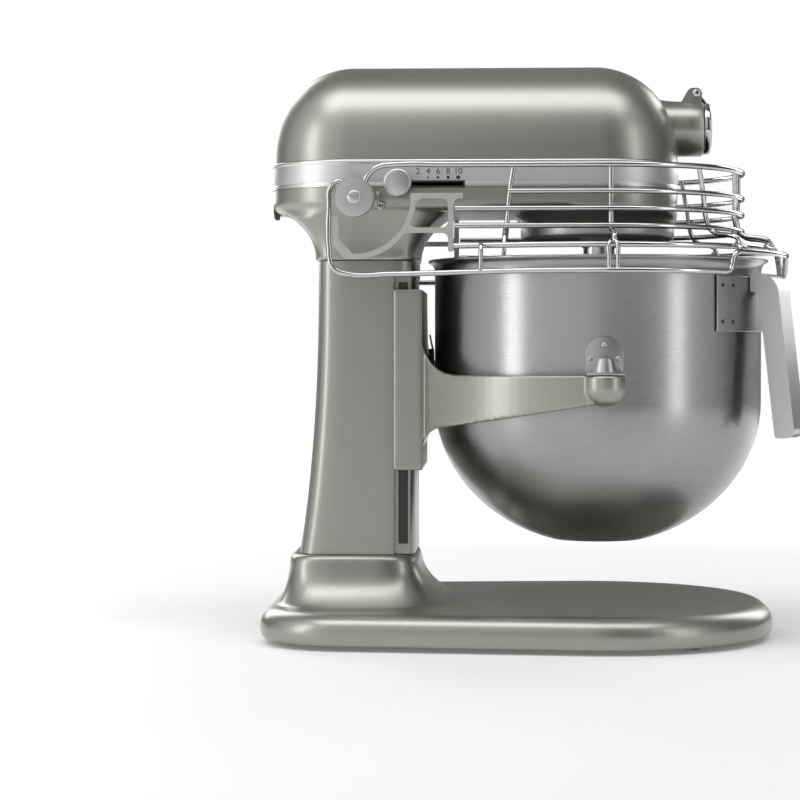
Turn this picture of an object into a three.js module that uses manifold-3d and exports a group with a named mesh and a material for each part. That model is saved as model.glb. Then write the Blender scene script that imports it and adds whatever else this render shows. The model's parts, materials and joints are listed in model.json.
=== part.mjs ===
// A bowl-lift stand mixer with a hinged wire bowl guard, in millimetres.
// +X points to the mixer's front, +Y to its own left, +Z up. The origin is on the floor, under the
// bowl's axis.
import * as THREE from "three";
import { ParametricGeometry } from "three/addons/geometries/ParametricGeometry.js";
import { mergeVertices } from "three/addons/utils/BufferGeometryUtils.js";
import Module from "manifold-3d";

const wasm = await Module();
wasm.setup();

// ---- Clearances ----
const GAP = 0.3; // between fixed pieces that touch
const RUNNING = 0.6; // round a piece that turns or slides
const SWEEP = 2; // round a piece that swings past another
const THROUGH = 5; // how far a cutting tool runs past what it cuts

// ---- Head ----
const HEAD_REAR = -239;
const HEAD_FRONT = 58;
const HEAD_HALF_WIDTH = 71;
const HEAD_TOP = 417;
const HEAD_CORNER = 59;
const DOME_HEIGHT = 72; // height of the rounded shoulders
const DOME_INSET = 53; // how far the shoulders draw in
const CASE_BOTTOM = 309;
const CASE_SPLIT = 335; // where the motor housing sits on the gear housing
const CASE_EDGE = 5;
const WALL = 4;
const BAND_BOTTOM = 326;
const BAND_TOP = 345;
const BAND_THICKNESS = 2;
const BAND_PROUD = 0.7;

// ---- Bowl lift and column ----
const COLUMN_FRONT = -134;
const COLUMN_REAR = -204;
const COLUMN_REAR_FLARE = 14;
const COLUMN_HALF_WIDTH = 56;
const COLUMN_TOP = 274;
const PEDESTAL_TOP = 62;
const GUIDE_HALF_WIDTH = 50;
const GUIDE_DEPTH = 15;
const RAIL = 6;
const LIFT = 48; // travel of the bowl
const CRANK = 30;
const LEVER_PIVOT = [-160, 170];
const LEVER_LENGTH = 82;
const SHAFT_RADIUS = 7;

// ---- Base ----
const BASE_REAR = -244;
const BASE_FRONT = 128;
const BASE_HALF_WIDTH = 150; // at the front corners, before they are rounded
const BASE_REAR_HALF_WIDTH = 118;
const BASE_TOP = 26;
const BASE_FRONT_FLAT = 11; // half of the straight stretch across the front
const FOOT_HEIGHT = 3;
const COVER_THICKNESS = 2;
const PEDESTAL = { front: -131, rear: -225, half: 64, frontFlare: 38, rearFlare: 12, sideFlare: 34 };

// ---- Bowl ----
const BOWL_RADIUS = 120;
const BOWL_WALL = 1.5;
const BOWL_RIM = 275;
const BOWL_KNUCKLE = 172; // height where the round bottom starts
const BOWL_BOTTOM = 66;
const FOOT_RADIUS = 34;
const LIP_RADIUS = 125;
const HANDLE_AZIMUTH = THREE.MathUtils.degToRad(-25);
const HANDLE_WIDTH = 25;
const HANDLE_SHEET = 1.6;
const HANDLE_TOP = 264;
const HANDLE_BOTTOM = 147;
const HANDLE_PLATE_ARC = THREE.MathUtils.degToRad(48);
const PLATE = 1.5;

// ---- Yoke ----
const ARM_TOP = 192;
const ARM_THICKNESS = 12;
const ARM_AXIS = 132; // distance of the locating pins from the bowl's axis
const YOKE_TOP = 253;
const YOKE_BOTTOM = 123;
const BOSS_RADIUS = 14.5;
const PIN_RADIUS = 4.5;
const PIN_TOP = 200;

// ---- Drive ----
const DRIVE_Z = 372.4; // axis of the attachment hub and of the countershaft
const RING_TEETH = 30;
const PLANET_TEETH = 8;
const RING_MODULE = 3;
const BEVEL_TEETH = 12;
const BEVEL_MODULE = 3.4;
const COUNTER_TEETH = 20;
const MOTOR_TEETH = 8;
const SPUR_MODULE = 1.95;
const NOSE_RADIUS = 57.5;
const NOSE_BOTTOM = 300.3;
const CARRIER_RADIUS = 56.5;
const CARRIER_BOTTOM = 290;
const CARRIER_TOP = 299.7;
const WEB_BOTTOM = 314;
const WEB_TOP = 318;
const CENTRE_SHAFT = 8;
const AGITATOR_SHAFT = 6.35;
const MOTOR_SHAFT = 4;
const MOTOR_RADIUS = 29.5;
const MOTOR_REAR = -200;
const MOTOR_FRONT = -105;

// ---- Attachment hub ----
const HUB_RADIUS = 20;
const HUB_FACE = 77;
const HUB_SOCKET = 15;
const HUB_BORE = 12;
const HUB_COVER_RADIUS = 17.5;
const HUB_COVER_THICKNESS = 6;
const HUB_HINGE = [72, 398];
const HUB_SCREW_X = 66;

// ---- Speed control ----
const KNOB_X = -144;
const KNOB_Z = 327.5;
const KNOB_RADIUS = 9.9;
const KNOB_FACE = -90;
const SPEED_TRAVEL = 40;
const SLOT_HEIGHT = 2.6;

// ---- Guard ----
const PIVOT_X = -173;
const PIVOT_Z = 315.7;
const GUARD_Y = 106;
const GUARD_PLATE = 3;
const WIRE = 1.9;
const BAR = 3.6;
const RING_ONE = { z: 338.6, radius: 106 };
const RING_TWO = { z: 320, radius: 106 };
const RING_THREE = { z: 308, radius: 106 };
const RING_FOUR = { z: 296, radius: 106 };
const RING_FIVE = { z: 282, radius: 129.5 };
const RING_SIX = { z: 264, radius: 138, kink: 14 };
const BRACKET_BAR_X = -106;

const agitatorOffset = (RING_MODULE * (RING_TEETH - PLANET_TEETH)) / 2;
const bevelRadius = (BEVEL_MODULE * BEVEL_TEETH) / 2;
const motorZ = DRIVE_Z - (SPUR_MODULE * (COUNTER_TEETH + MOTOR_TEETH)) / 2;
const right = Math.PI / 2;

// ---- Materials ----
const finish = (color, roughness, metalness) =>
  new THREE.MeshStandardMaterial({ color, roughness, metalness });
const paint = finish(0x8f8e86, 0.38, 0.6);
const aluminium = finish(0xc6c6c4, 0.35, 0.9);
const stainless = finish(0xa9a9aa, 0.28, 1);
const chrome = finish(0xdadada, 0.1, 1);
const steel = finish(0x8a8c8e, 0.35, 1);
const bronze = finish(0x9a7a45, 0.4, 0.9);
const copper = finish(0x9c5a34, 0.45, 0.8);
const black = finish(0x151515, 0.5, 0);
const rubber = finish(0x1d1d1d, 0.85, 0);
const board = finish(0x1f4a2c, 0.6, 0.1);

// ---- Shape tools ----
const ROUND = 28; // sides of a large turned surface
const SHAFT_SIDES = 12;

// Base, further sizes
const EDGE_HEIGHT = 18; // height of the base's rounded edge
const EDGE_WIDTH = 26;
const BASE_HOLLOW = 10;
const COVER_INSET = 14;
const DISH_RADIUS = 104;
const DISH_DEPTH = 7;
const FEET = [
  ["foot_front_right", 60, -88],
  ["foot_front_left", 60, 88],
  ["foot_rear_right", -200, -80],
  ["foot_rear_left", -200, 80],
  ["centre_foot", 0, 0],
];
const FOOT_PAD = 11;
const FOOT_STEM = 4;

// Column, further sizes
const COLUMN_POWER = 7;
const HOLLOW_FRONT = -150;
const HOLLOW_REAR = -196;
const HOLLOW_HALF = 42;
const LUG_HALF = 8;
const LUG = { bottom: 228, top: 240 };
const GUIDE_TOP = 262;
const RAIL_PROUD = 2;
const RAIL_BOTTOM = 70;
const RAIL_TOP = 258;
const railX = COLUMN_FRONT - GUIDE_DEPTH / 2;

// Head castings, further sizes
const SLOT_START = KNOB_X - 5;
const SLOT_END = KNOB_X + SPEED_TRAVEL + 6;
const SHOULDER_STEPS = 4;
const HINGE_PIN = 1.8;
const STUD = 3;
const NECK_STEP = 3; // how far the neck stays inside the tray above it
const NOSE_CAVITY = 53;
const BEARING_OUTER = 16;
const BEARING_HEIGHT = 8;
const INLET = 6;
const INLET_Y = 38;
const INLET_Z = 317;

// Transmission, further sizes
const RING_BOTTOM = 303;
const RING_TOP = 313;
const CARRIER_BORE = 293;
const BEVEL_FACE = 0.7; // size of a bevel's small end against its large end
const BEVEL_TIP = 1.1;
const BEVEL_ROOT = 1.9;
const COUNTER_GEAR = [-62, -54];
const PLATE_X = [-72, -68];
const COUNTER_SHAFT = 5;
const HUB_DRIVE = [38, 56];

// Agitator, further sizes
const BEATER_THICKNESS = 9;
const BEATER_TOP = CARRIER_BOTTOM - 4 - 0.7;

// Yoke, lift rod and lever, further sizes
const PIN_STEM = 3.5;

// Guard, further sizes
const LUG_EYE = 12.5;
const SPIGOT = 5;
const POST_RADIUS = 7;

function solid(piece) {
  if (!piece.isBufferGeometry) return piece;
  const bare = piece.index ? piece.toNonIndexed() : piece.clone();
  for (const name of ["normal", "uv"]) bare.deleteAttribute(name);
  const merged = mergeVertices(bare, 1e-4);
  return new wasm.Manifold(
    new wasm.Mesh({
      numProp: 3,
      vertProperties: merged.attributes.position.array,
      triVerts: new Uint32Array(merged.index.array),
    }),
  );
}

function geometry(piece) {
  if (piece.isBufferGeometry) return piece;
  const made = piece.getMesh();
  return new THREE.BufferGeometry()
    .setAttribute("position", new THREE.BufferAttribute(made.vertProperties, 3))
    .setIndex(new THREE.BufferAttribute(made.triVerts, 1));
}

const join = (first, ...rest) => rest.reduce((whole, piece) => whole.add(solid(piece)), solid(first));
const cut = (body, ...tools) => tools.reduce((left, tool) => left.subtract(solid(tool)), solid(body));
const common = (first, second) => solid(first).intersect(solid(second));

function box([x0, y0, z0], [x1, y1, z1]) {
  return new THREE.BoxGeometry(x1 - x0, y1 - y0, z1 - z0).translate(
    (x0 + x1) / 2, (y0 + y1) / 2, (z0 + z1) / 2,
  );
}

// Turns a shape made along +Z so that it runs along the named axis, then moves it there.
function along(axis, made, [x, y, z]) {
  if (axis === "x") made.rotateY(right);
  if (axis === "y") made.rotateX(-right);
  return made.translate(x, y, z);
}

// A round bar, or a cone when the end radius differs, from one distance to another along an axis.
function bar(axis, radius, from, to, at, sides = 12, endRadius = radius) {
  const made = new THREE.CylinderGeometry(endRadius, radius, to - from, sides).rotateX(right);
  made.translate(0, 0, (from + to) / 2);
  return along(axis, made, at);
}

// A turned piece: profile points are [radius, distance along the axis], anticlockwise.
function turned(profile, sides = 20, axis = "z", at = [0, 0, 0]) {
  const points = profile.map(([radius, along]) => new THREE.Vector2(radius, along));
  if (THREE.ShapeUtils.area(points) < 0) points.reverse();
  points.push(points[0].clone());
  return along(axis, new THREE.LatheGeometry(points, sides).rotateX(right), at);
}

function ring(axis, inner, outer, from, to, at, sides = 20) {
  return turned([[inner, from], [outer, from], [outer, to], [inner, to]], sides, axis, at);
}

// A closed outline through corners [x, y, radius], each rounded by an arc.
function outline(corners) {
  const shape = new THREE.Shape();
  corners.forEach(([x, y, radius = 0], i) => {
    const here = new THREE.Vector2(x, y);
    if (!radius) return i ? shape.lineTo(x, y) : shape.moveTo(x, y);
    const neighbours = [corners.at(i - 1), corners[(i + 1) % corners.length]];
    const [before, after] = neighbours.map(([u, v]) => new THREE.Vector2(u, v).sub(here).normalize());
    const half = Math.acos(before.dot(after)) / 2;
    const centre = before.clone().add(after).normalize().multiplyScalar(radius / Math.sin(half)).add(here);
    const ends = [before, after].map((way) =>
      here.clone().addScaledVector(way, radius / Math.tan(half)).sub(centre));
    return shape.absarc(
      centre.x, centre.y, radius, ends[0].angle(), ends[1].angle(), before.cross(after) > 0,
    );
  });
  return shape;
}

// A plan outline raised from one height to another.
function prism(shape, from, to, curveSegments = 3, bevel = {}) {
  const settings = { depth: to - from, bevelEnabled: false, curveSegments, ...bevel };
  return new THREE.ExtrudeGeometry(shape, settings).translate(0, 0, from);
}

// A side outline in X and Z, extruded along Y from one distance to another.
function sideways(shape, from, to, curveSegments = 2) {
  const made = new THREE.ExtrudeGeometry(shape, { depth: to - from, bevelEnabled: false, curveSegments });
  return made.rotateX(right).translate(0, to, 0);
}

// An outline in Y and Z, extruded along X.
function forward(shape, from, to, curveSegments = 1) {
  const made = new THREE.ExtrudeGeometry(shape, { depth: to - from, bevelEnabled: false, curveSegments });
  return made.rotateZ(right).rotateY(right).translate(from, 0, 0);
}

// A casting lofted through rounded-rectangle sections {z, front, rear, half}.
function loft(sections, power, sides = 24) {
  const stacks = sections.length + 1;
  const surface = (u, v, target) => {
    const level = Math.round(v * stacks);
    const { z, front, rear, half } = sections[THREE.MathUtils.clamp(level - 1, 0, sections.length - 1)];
    const size = level === 0 || level === stacks ? 0 : 1;
    const angle = 2 * Math.PI * (u === 1 ? 0 : u);
    const rounded = (value) => Math.sign(value) * Math.abs(value) ** (2 / power);
    const middle = (front + rear) / 2;
    target.set(
      middle + size * (front - middle) * rounded(Math.cos(angle)),
      size * half * rounded(Math.sin(angle)), z,
    );
  };
  return new ParametricGeometry(surface, sides, stacks);
}

// A round wire along a smooth curve through points.
function wire(points, radius, steps, sides = 4) {
  const section = new THREE.Shape().absarc(0, 0, radius, 0, 2 * Math.PI);
  const path = new THREE.CatmullRomCurve3(points, false, "centripetal");
  return new THREE.ExtrudeGeometry(section, { steps, extrudePath: path, curveSegments: sides / 2 });
}

// A gear outline with straight-sided teeth; one tooth is centred on the phase angle.
function toothed(teeth, root, tip, phase, rootShare = 0.3, tipShare = 0.13) {
  const pitch = (2 * Math.PI) / teeth;
  const points = [];
  for (let i = 0; i < teeth; i++) {
    const middle = phase + i * pitch;
    for (const [share, radius] of [[-rootShare, root], [-tipShare, tip], [tipShare, tip], [rootShare, root]]) {
      points.push(
        new THREE.Vector2(
          radius * Math.cos(middle + share * pitch), radius * Math.sin(middle + share * pitch),
        )
      );
    }
  }
  return new THREE.Shape(points);
}

function withHole(shape, radius) {
  const around = Array.from({ length: SHAFT_SIDES }, (_, i) => (-2 * Math.PI * i) / SHAFT_SIDES);
  shape.holes.push(new THREE.Path(around.map((a) =>
    new THREE.Vector2(radius * Math.cos(a), radius * Math.sin(a)))));
  return shape;
}

const mixer = new THREE.Group();
function add(name, piece, material) {
  const mesh = new THREE.Mesh(geometry(piece), material);
  mesh.name = name;
  mixer.add(mesh);
}
const SIDES = [["right", -1], ["left", 1]];

// A span from one distance to another on the given side of the middle plane, in rising order.
const span = (side, near, far) => (side > 0 ? [near, far] : [-far, -near]);

// ---- Base ----
function baseOutline(inset) {
  const taper = Math.atan2(BASE_HALF_WIDTH - BASE_REAR_HALF_WIDTH, BASE_FRONT - BASE_REAR);
  const front = (BASE_HALF_WIDTH - BASE_FRONT_FLAT) * Math.tan((right - taper) / 2);
  return outline([
    [BASE_FRONT - inset, -BASE_HALF_WIDTH + inset, front - inset],
    [BASE_FRONT - inset, BASE_HALF_WIDTH - inset, front - inset],
    [BASE_REAR + inset, BASE_REAR_HALF_WIDTH - inset, 62 - inset],
    [BASE_REAR + inset, -BASE_REAR_HALF_WIDTH + inset, 62 - inset],
  ]);
}

function makeBase() {
  const edge = {
    bevelEnabled: true, bevelThickness: EDGE_HEIGHT, bevelSize: EDGE_WIDTH,
    bevelOffset: -EDGE_WIDTH, bevelSegments: 3,
  };
  const slab = prism(baseOutline(0), -EDGE_HEIGHT, BASE_TOP - EDGE_HEIGHT, 5, edge);
  const low = BASE_TOP - EDGE_HEIGHT;
  const sections = [{ z: low, t: 0 }];
  for (let i = 0; i <= 4; i++) sections.push(
    { z: THREE.MathUtils.lerp(BASE_TOP - 8, PEDESTAL_TOP - 3, i / 4), t: i / 4 }
  );
  const bell = sections.map(({ z, t }) => ({
    z,
    front: PEDESTAL.front + PEDESTAL.frontFlare * (1 - t) ** 2.2,
    rear: PEDESTAL.rear - PEDESTAL.rearFlare * (1 - t) ** 2,
    half: PEDESTAL.half + PEDESTAL.sideFlare * (1 - t) ** 2.2,
  }));
  const last = bell.at(-1);
  bell.push({ z: PEDESTAL_TOP, front: last.front - 3, rear: last.rear + 3, half: last.half - 3 });
  const dish = new THREE.SphereGeometry(1, 24, 6).rotateX(right).scale(DISH_RADIUS, DISH_RADIUS, DISH_DEPTH);
  const bottom = FOOT_HEIGHT + COVER_THICKNESS;
  const hollow = prism(baseOutline(COVER_INSET), 0, BASE_HOLLOW);
  const under = box([BASE_REAR - 50, -200, -50], [BASE_FRONT + 50, 200, FOOT_HEIGHT]);
  const shaftWay = box([-192, -38, bottom], [-152, 38, PEDESTAL_TOP + THROUGH]);
  add(
    "base",
    cut(join(slab, loft(bell, 5)), dish.translate(14, 0, BASE_TOP + 0.5), hollow, under, shaftWay),
    paint,
  );
}

function makeBaseCover() {
  const plate = prism(baseOutline(COVER_INSET + GAP), FOOT_HEIGHT + GAP, FOOT_HEIGHT + COVER_THICKNESS);
  const holes = FEET.map(([, x, y]) => bar("z", FOOT_STEM + RUNNING, 0, BASE_HOLLOW, [x, y, 0], 8));
  add("base_cover", cut(plate, ...holes), steel);
  for (const [name, x, y] of FEET) {
    const profile = [
      [0, 0], [FOOT_PAD - 1, 0], [FOOT_PAD, 1], [FOOT_PAD, FOOT_HEIGHT],
      [FOOT_STEM, FOOT_HEIGHT],
    ];
    profile.push([FOOT_STEM, BASE_HOLLOW - 2], [0, BASE_HOLLOW - 2]);
    add(name, turned(profile, 14, "z", [x, y, 0]), rubber);
  }
}

// ---- Column ----

function makeColumn() {
  const sections = [];
  for (let i = 0; i <= 3; i++) {
    const t = i / 3;
    const z = THREE.MathUtils.lerp(PEDESTAL_TOP + GAP, COLUMN_TOP - GAP, t);
    sections.push(
      {
        z, front: COLUMN_FRONT + 1, rear: COLUMN_REAR - COLUMN_REAR_FLARE * (1 - t) ** 2.5,
        half: COLUMN_HALF_WIDTH,
      }
    );
  }
  const guideRear = COLUMN_FRONT - GUIDE_DEPTH;
  const guide = box(
    [guideRear - 20, -GUIDE_HALF_WIDTH, PEDESTAL_TOP + GAP],
    [COLUMN_FRONT, GUIDE_HALF_WIDTH, COLUMN_TOP - GAP],
  );
  const tools = [
    box([HOLLOW_REAR, -HOLLOW_HALF, PEDESTAL_TOP - 9], [HOLLOW_FRONT, HOLLOW_HALF, COLUMN_TOP + THROUGH]),
    box(
      [COLUMN_FRONT, -COLUMN_HALF_WIDTH - 1, PEDESTAL_TOP - 9],
      [COLUMN_FRONT + 30, COLUMN_HALF_WIDTH + 1, GUIDE_TOP],
    ),
    box(
      [HOLLOW_FRONT - THROUGH, -LUG_HALF - SWEEP, LUG.bottom - LIFT - SWEEP],
      [COLUMN_FRONT + THROUGH, LUG_HALF + SWEEP, LUG.top + SWEEP],
    ),
    bar(
      "y", SHAFT_RADIUS + RUNNING, HOLLOW_HALF - THROUGH, COLUMN_HALF_WIDTH + THROUGH,
      [LEVER_PIVOT[0], 0, LEVER_PIVOT[1]],
    ),
    bar(
      "y", SHAFT_RADIUS + RUNNING, -HOLLOW_HALF - 6, -HOLLOW_HALF + THROUGH,
      [LEVER_PIVOT[0], 0, LEVER_PIVOT[1]],
    ),
  ];
  for (const [name, side] of SIDES) {
    const [near, far] = span(side, GUIDE_HALF_WIDTH, COLUMN_HALF_WIDTH + THROUGH);
    tools.push(box([guideRear, near, PEDESTAL_TOP - 9], [COLUMN_FRONT + 30, far, GUIDE_TOP]));
    const [railNear, railFar] = span(
      side, GUIDE_HALF_WIDTH + RAIL_PROUD - RAIL, GUIDE_HALF_WIDTH + RAIL_PROUD,
    );
    const rail = [[railX - RAIL / 2, railNear, RAIL_BOTTOM], [railX + RAIL / 2, railFar, RAIL_TOP]];
    add("guide_rail_" + name, box(...rail), steel);
    tools.push(box(rail[0].map((v) => v - GAP), rail[1].map((v) => v + GAP)));
  }
  add("column", cut(join(loft(sections, COLUMN_POWER), guide), ...tools), paint);
}

// ---- Head castings ----
function headOutline(inset) {
  const half = HEAD_HALF_WIDTH - inset;
  const corner = HEAD_CORNER - inset;
  return outline([
    [HEAD_REAR + inset, -half, corner],
    [HEAD_FRONT - inset, -half, corner],
    [HEAD_FRONT - inset, half, corner],
    [HEAD_REAR + inset, half, corner],
  ]);
}

function bandGroove() {
  const outer = prism(headOutline(-THROUGH), BAND_BOTTOM - GAP, BAND_TOP + GAP);
  return cut(
    outer,
    prism(
      headOutline(BAND_THICKNESS - BAND_PROUD + GAP), BAND_BOTTOM - THROUGH,
      BAND_TOP + THROUGH,
    ),
  );
}

// The slot that the speed lever slides in, as a cutting tool grown by a margin.
function speedSlot(margin, from, to) {
  const height = SLOT_HEIGHT / 2 + margin;
  return box([SLOT_START - margin, from, KNOB_Z - height], [SLOT_END + margin, to, KNOB_Z + height]);
}

function dome(inset, from) {
  const bevel = {
    bevelEnabled: true,
    bevelThickness: DOME_HEIGHT - inset,
    bevelSize: DOME_INSET - inset,
    bevelOffset: inset - DOME_INSET,
    bevelSegments: SHOULDER_STEPS,
  };
  return prism(headOutline(inset), from, HEAD_TOP - DOME_HEIGHT, 3, bevel);
}

function makeMotorHousing() {
  const below = box([HEAD_REAR - 30, -150, 150], [HEAD_FRONT + 60, 150, CASE_SPLIT + GAP]);
  const at = [0, 0, DRIVE_Z];
  const hub = [
    bar("x", HUB_RADIUS, 20, HUB_FACE, at, 20),
    bar("x", HUB_RADIUS + 8, 30, 62, at, 32, HUB_RADIUS),
  ];
  const lug = outline([
    [HUB_HINGE[0] - 14, HUB_HINGE[1] - 12], [HUB_HINGE[0] + 4, HUB_HINGE[1] - 12],
    [HUB_HINGE[0] + 4, HUB_HINGE[1] + 4, 3.5], [HUB_HINGE[0] - 5, HUB_HINGE[1] + 4, 3.5],
  ]);
  const body = join(
    cut(dome(0, CASE_SPLIT - 10), below), ...hub, sideways(lug, -7, -3.5),
    sideways(lug, 3.5, 7),
  );
  const inside = cut(
    dome(WALL, CASE_SPLIT - 10),
    box([35, -100, DRIVE_Z - 30], [HEAD_FRONT + 10, 100, DRIVE_Z + 30]),
  );
  const tools = [
    inside,
    bar("x", HUB_SOCKET + GAP, 0, HUB_FACE + THROUGH, at, 20),
    bar("y", HINGE_PIN + GAP, -20, 20, [HUB_HINGE[0], 0, HUB_HINGE[1]], 12),
    bar("y", STUD + GAP, 0, HUB_RADIUS + THROUGH, [HUB_SCREW_X, 0, DRIVE_Z], 12),
    bandGroove(),
  ];
  add("motor_housing", cut(body, ...tools), paint);
}

function makeGearHousing() {
  const edge = {
    bevelEnabled: true, bevelThickness: CASE_EDGE, bevelSize: CASE_EDGE,
    bevelOffset: -CASE_EDGE, bevelSegments: 2,
  };
  const tray = prism(headOutline(0), CASE_BOTTOM + CASE_EDGE, CASE_SPLIT + THROUGH, 3, edge);
  const neck = [];
  for (let i = 0; i <= 3; i++) {
    const t = i / 3;
    neck.push({
      z: THREE.MathUtils.lerp(COLUMN_TOP, CASE_BOTTOM + CASE_EDGE, t),
      front: COLUMN_FRONT + 3 + 30 * t ** 2.4,
      rear: COLUMN_REAR - 2 - 31 * t ** 2.4,
      half: COLUMN_HALF_WIDTH + 1.5 + 12 * t ** 2.4,
    });
  }
  const floor = CASE_BOTTOM + 5;
  const neckInside = common(
    loft(neck, COLUMN_POWER), prism(headOutline(NECK_STEP), COLUMN_TOP - 1, CASE_SPLIT),
  );
  const body = join(tray, neckInside, bar("z", NOSE_RADIUS, NOSE_BOTTOM, CASE_SPLIT, [0, 0, 0], 32));
  const web = bar("z", NOSE_RADIUS - 1, WEB_BOTTOM, WEB_TOP, [0, 0, 0], 24);
  const collar = ring(
    "z", BEARING_OUTER + GAP, BEARING_OUTER + 5, WEB_TOP - 1, WEB_TOP + BEARING_HEIGHT,
    [0, 0, 0],
  );
  const hollowed = cut(
    body,
    box([HEAD_REAR - 30, -150, CASE_SPLIT], [HEAD_FRONT + 60, 150, CASE_SPLIT + 60]),
    prism(headOutline(WALL + 1), floor, CASE_SPLIT + 1),
    bar("z", NOSE_CAVITY, NOSE_BOTTOM - THROUGH, WEB_BOTTOM, [0, 0, 0], ROUND),
    box([HOLLOW_REAR, -HOLLOW_HALF, COLUMN_TOP - THROUGH], [HOLLOW_FRONT + 8, HOLLOW_HALF, floor + 1]),
  );
  const tools = [
    bar("z", CENTRE_SHAFT + RUNNING, NOSE_BOTTOM, WEB_TOP + 20, [0, 0, 0], 20),
    bandGroove(),
    speedSlot(1, -HEAD_HALF_WIDTH - THROUGH, -HEAD_HALF_WIDTH + WALL + 4),
    bar("x", INLET + GAP, HEAD_REAR - THROUGH, HEAD_REAR + WALL + 4, [0, INLET_Y, INLET_Z], 20),
  ];
  add("gear_housing", cut(join(hollowed, web, collar), ...tools), paint);
}

function makeTrim() {
  const outer = prism(headOutline(-BAND_PROUD), BAND_BOTTOM, BAND_TOP);
  const inner = prism(headOutline(BAND_THICKNESS - BAND_PROUD), BAND_BOTTOM - THROUGH, BAND_TOP + THROUGH);
  const linerSpace = speedSlot(1 + GAP, -HEAD_HALF_WIDTH - THROUGH, -HEAD_HALF_WIDTH + WALL);
  const face = -HEAD_HALF_WIDTH - BAND_PROUD;
  const liner = cut(speedSlot(1, face, face + BAND_THICKNESS + 1), speedSlot(0, face - THROUGH, face + 10));
  // The liner reaches past the band's lower edge, so the band is notched there.
  add("trim_band", cut(cut(outer, inner), linerSpace), aluminium);
  add("speed_slot_liner", liner, black);
}

function makeInlet() {
  const x = HEAD_REAR;
  const profile = [
    [0, x - 4], [INLET + 2, x - 4], [INLET + 3, x - 3], [INLET + 3, x - GAP], [INLET, x - GAP],
    [INLET, x + WALL + 2], [0, x + WALL + 2],
  ];
  const gland = turned(profile, 20, "x", [0, INLET_Y, INLET_Z]);
  add("mains_inlet", cut(gland, bar("x", 3.5, x - 10, x + 2, [0, INLET_Y, INLET_Z], 16)), black);
}

// ---- Transmission ----

function makeCarrier() {
  const profile = [
    [0, CARRIER_TOP], [CARRIER_RADIUS, CARRIER_TOP], [CARRIER_RADIUS, CARRIER_BOTTOM + 3],
    [CARRIER_RADIUS - 3, CARRIER_BOTTOM],
    [CARRIER_RADIUS - 6, CARRIER_BOTTOM], [CARRIER_RADIUS - 12, CARRIER_BOTTOM + 4.5],
    [0, CARRIER_BOTTOM + 5],
  ];
  const boss = bar("z", 13, CARRIER_BOTTOM - 4, CARRIER_TOP - 1, [0, -agitatorOffset, 0], 20);
  const shaftWay = bar("z", AGITATOR_SHAFT + RUNNING, 250, 320, [0, -agitatorOffset, 0]);
  const socket = bar("z", CENTRE_SHAFT + GAP, CARRIER_BORE + 3, 320, [0, 0, 0]);
  add("planetary_carrier", cut(join(turned(profile, 32), boss), shaftWay, socket), aluminium);
}

// A bevel gear with its apex at the origin and its large end downwards.
function bevelGear(phase, bore) {
  const teeth = withHole(
    toothed(BEVEL_TEETH, bevelRadius - BEVEL_ROOT, bevelRadius + BEVEL_TIP, phase, 0.27, 0.13),
    bore / BEVEL_FACE,
  );
  const height = bevelRadius * (1 - BEVEL_FACE);
  const made = new THREE.ExtrudeGeometry(teeth, { depth: height, bevelEnabled: false });
  const position = made.attributes.position;
  for (let i = 0; i < position.count; i++) {
    const scale = THREE.MathUtils.lerp(1, BEVEL_FACE, position.getZ(i) / height);
    position.setXY(i, position.getX(i) * scale, position.getY(i) * scale);
  }
  return made.translate(0, 0, -bevelRadius);
}

function makeTransmission() {
  const ringOuter = bar("z", NOSE_CAVITY - GAP, RING_BOTTOM, RING_TOP, [0, 0, 0], 28);
  const ringPitch = (RING_MODULE * RING_TEETH) / 2;
  // The ring's hollow is a gear outline whose "teeth" are the gaps, so one gap faces the planet.
  const gaps = toothed(RING_TEETH, ringPitch - 2, ringPitch + 2.9, -right, 0.36, 0.24);
  add("ring_gear", cut(ringOuter, prism(gaps, RING_BOTTOM - 1, RING_TOP + 1)), steel);

  const planetPitch = (RING_MODULE * PLANET_TEETH) / 2;
  const planet = withHole(
    toothed(PLANET_TEETH, planetPitch - 2.9, planetPitch + 1.8, -right, 0.26, 0.1),
    AGITATOR_SHAFT + GAP,
  );
  add(
    "planet_pinion",
    prism(planet, RING_BOTTOM + 0.5, RING_TOP - 0.5).translate(0, -agitatorOffset, 0), steel,
  );

  const crownTop = DRIVE_Z - bevelRadius * BEVEL_FACE;
  add("centre_shaft", bar("z", CENTRE_SHAFT, CARRIER_BORE + 3 + GAP, crownTop, [0, 0, 0]), steel);
  add("crown_bevel_gear", bevelGear(0, CENTRE_SHAFT + GAP).translate(0, 0, DRIVE_Z), bronze);
  const seat = [CENTRE_SHAFT + RUNNING, BEARING_OUTER, WEB_TOP + GAP, WEB_TOP + BEARING_HEIGHT];
  add("centre_bearing", ring("z", ...seat, [0, 0, 0]), chrome);
}

function makeCountershaft() {
  // Turned to face +X, the pinion's large end is at -X; a gap faces the crown gear's tooth.
  const halfPitch = Math.PI / BEVEL_TEETH;
  const drive = bevelGear(halfPitch, COUNTER_SHAFT + GAP).rotateY(right).translate(0, 0, DRIVE_Z);
  add("drive_bevel_gear", drive, bronze);
  const shaft = [COUNTER_SHAFT, PLATE_X[0] - 8, -bevelRadius * BEVEL_FACE];
  add("countershaft", bar("x", ...shaft, [0, 0, DRIVE_Z]), steel);
  const counterPitch = (SPUR_MODULE * COUNTER_TEETH) / 2;
  const spur = withHole(
    toothed(COUNTER_TEETH, counterPitch - 1.7, counterPitch + 1, -right, 0.26, 0.1),
    COUNTER_SHAFT + GAP,
  );
  add("counter_gear", spurAlongX(spur, COUNTER_GEAR, DRIVE_Z), bronze);
}

// A gear outline in Y and Z (its +Y of the outline is +Z) extruded along X.
function spurAlongX(shape, [from, to], z) {
  return forward(shape, from, to).translate(0, 0, z);
}

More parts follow.
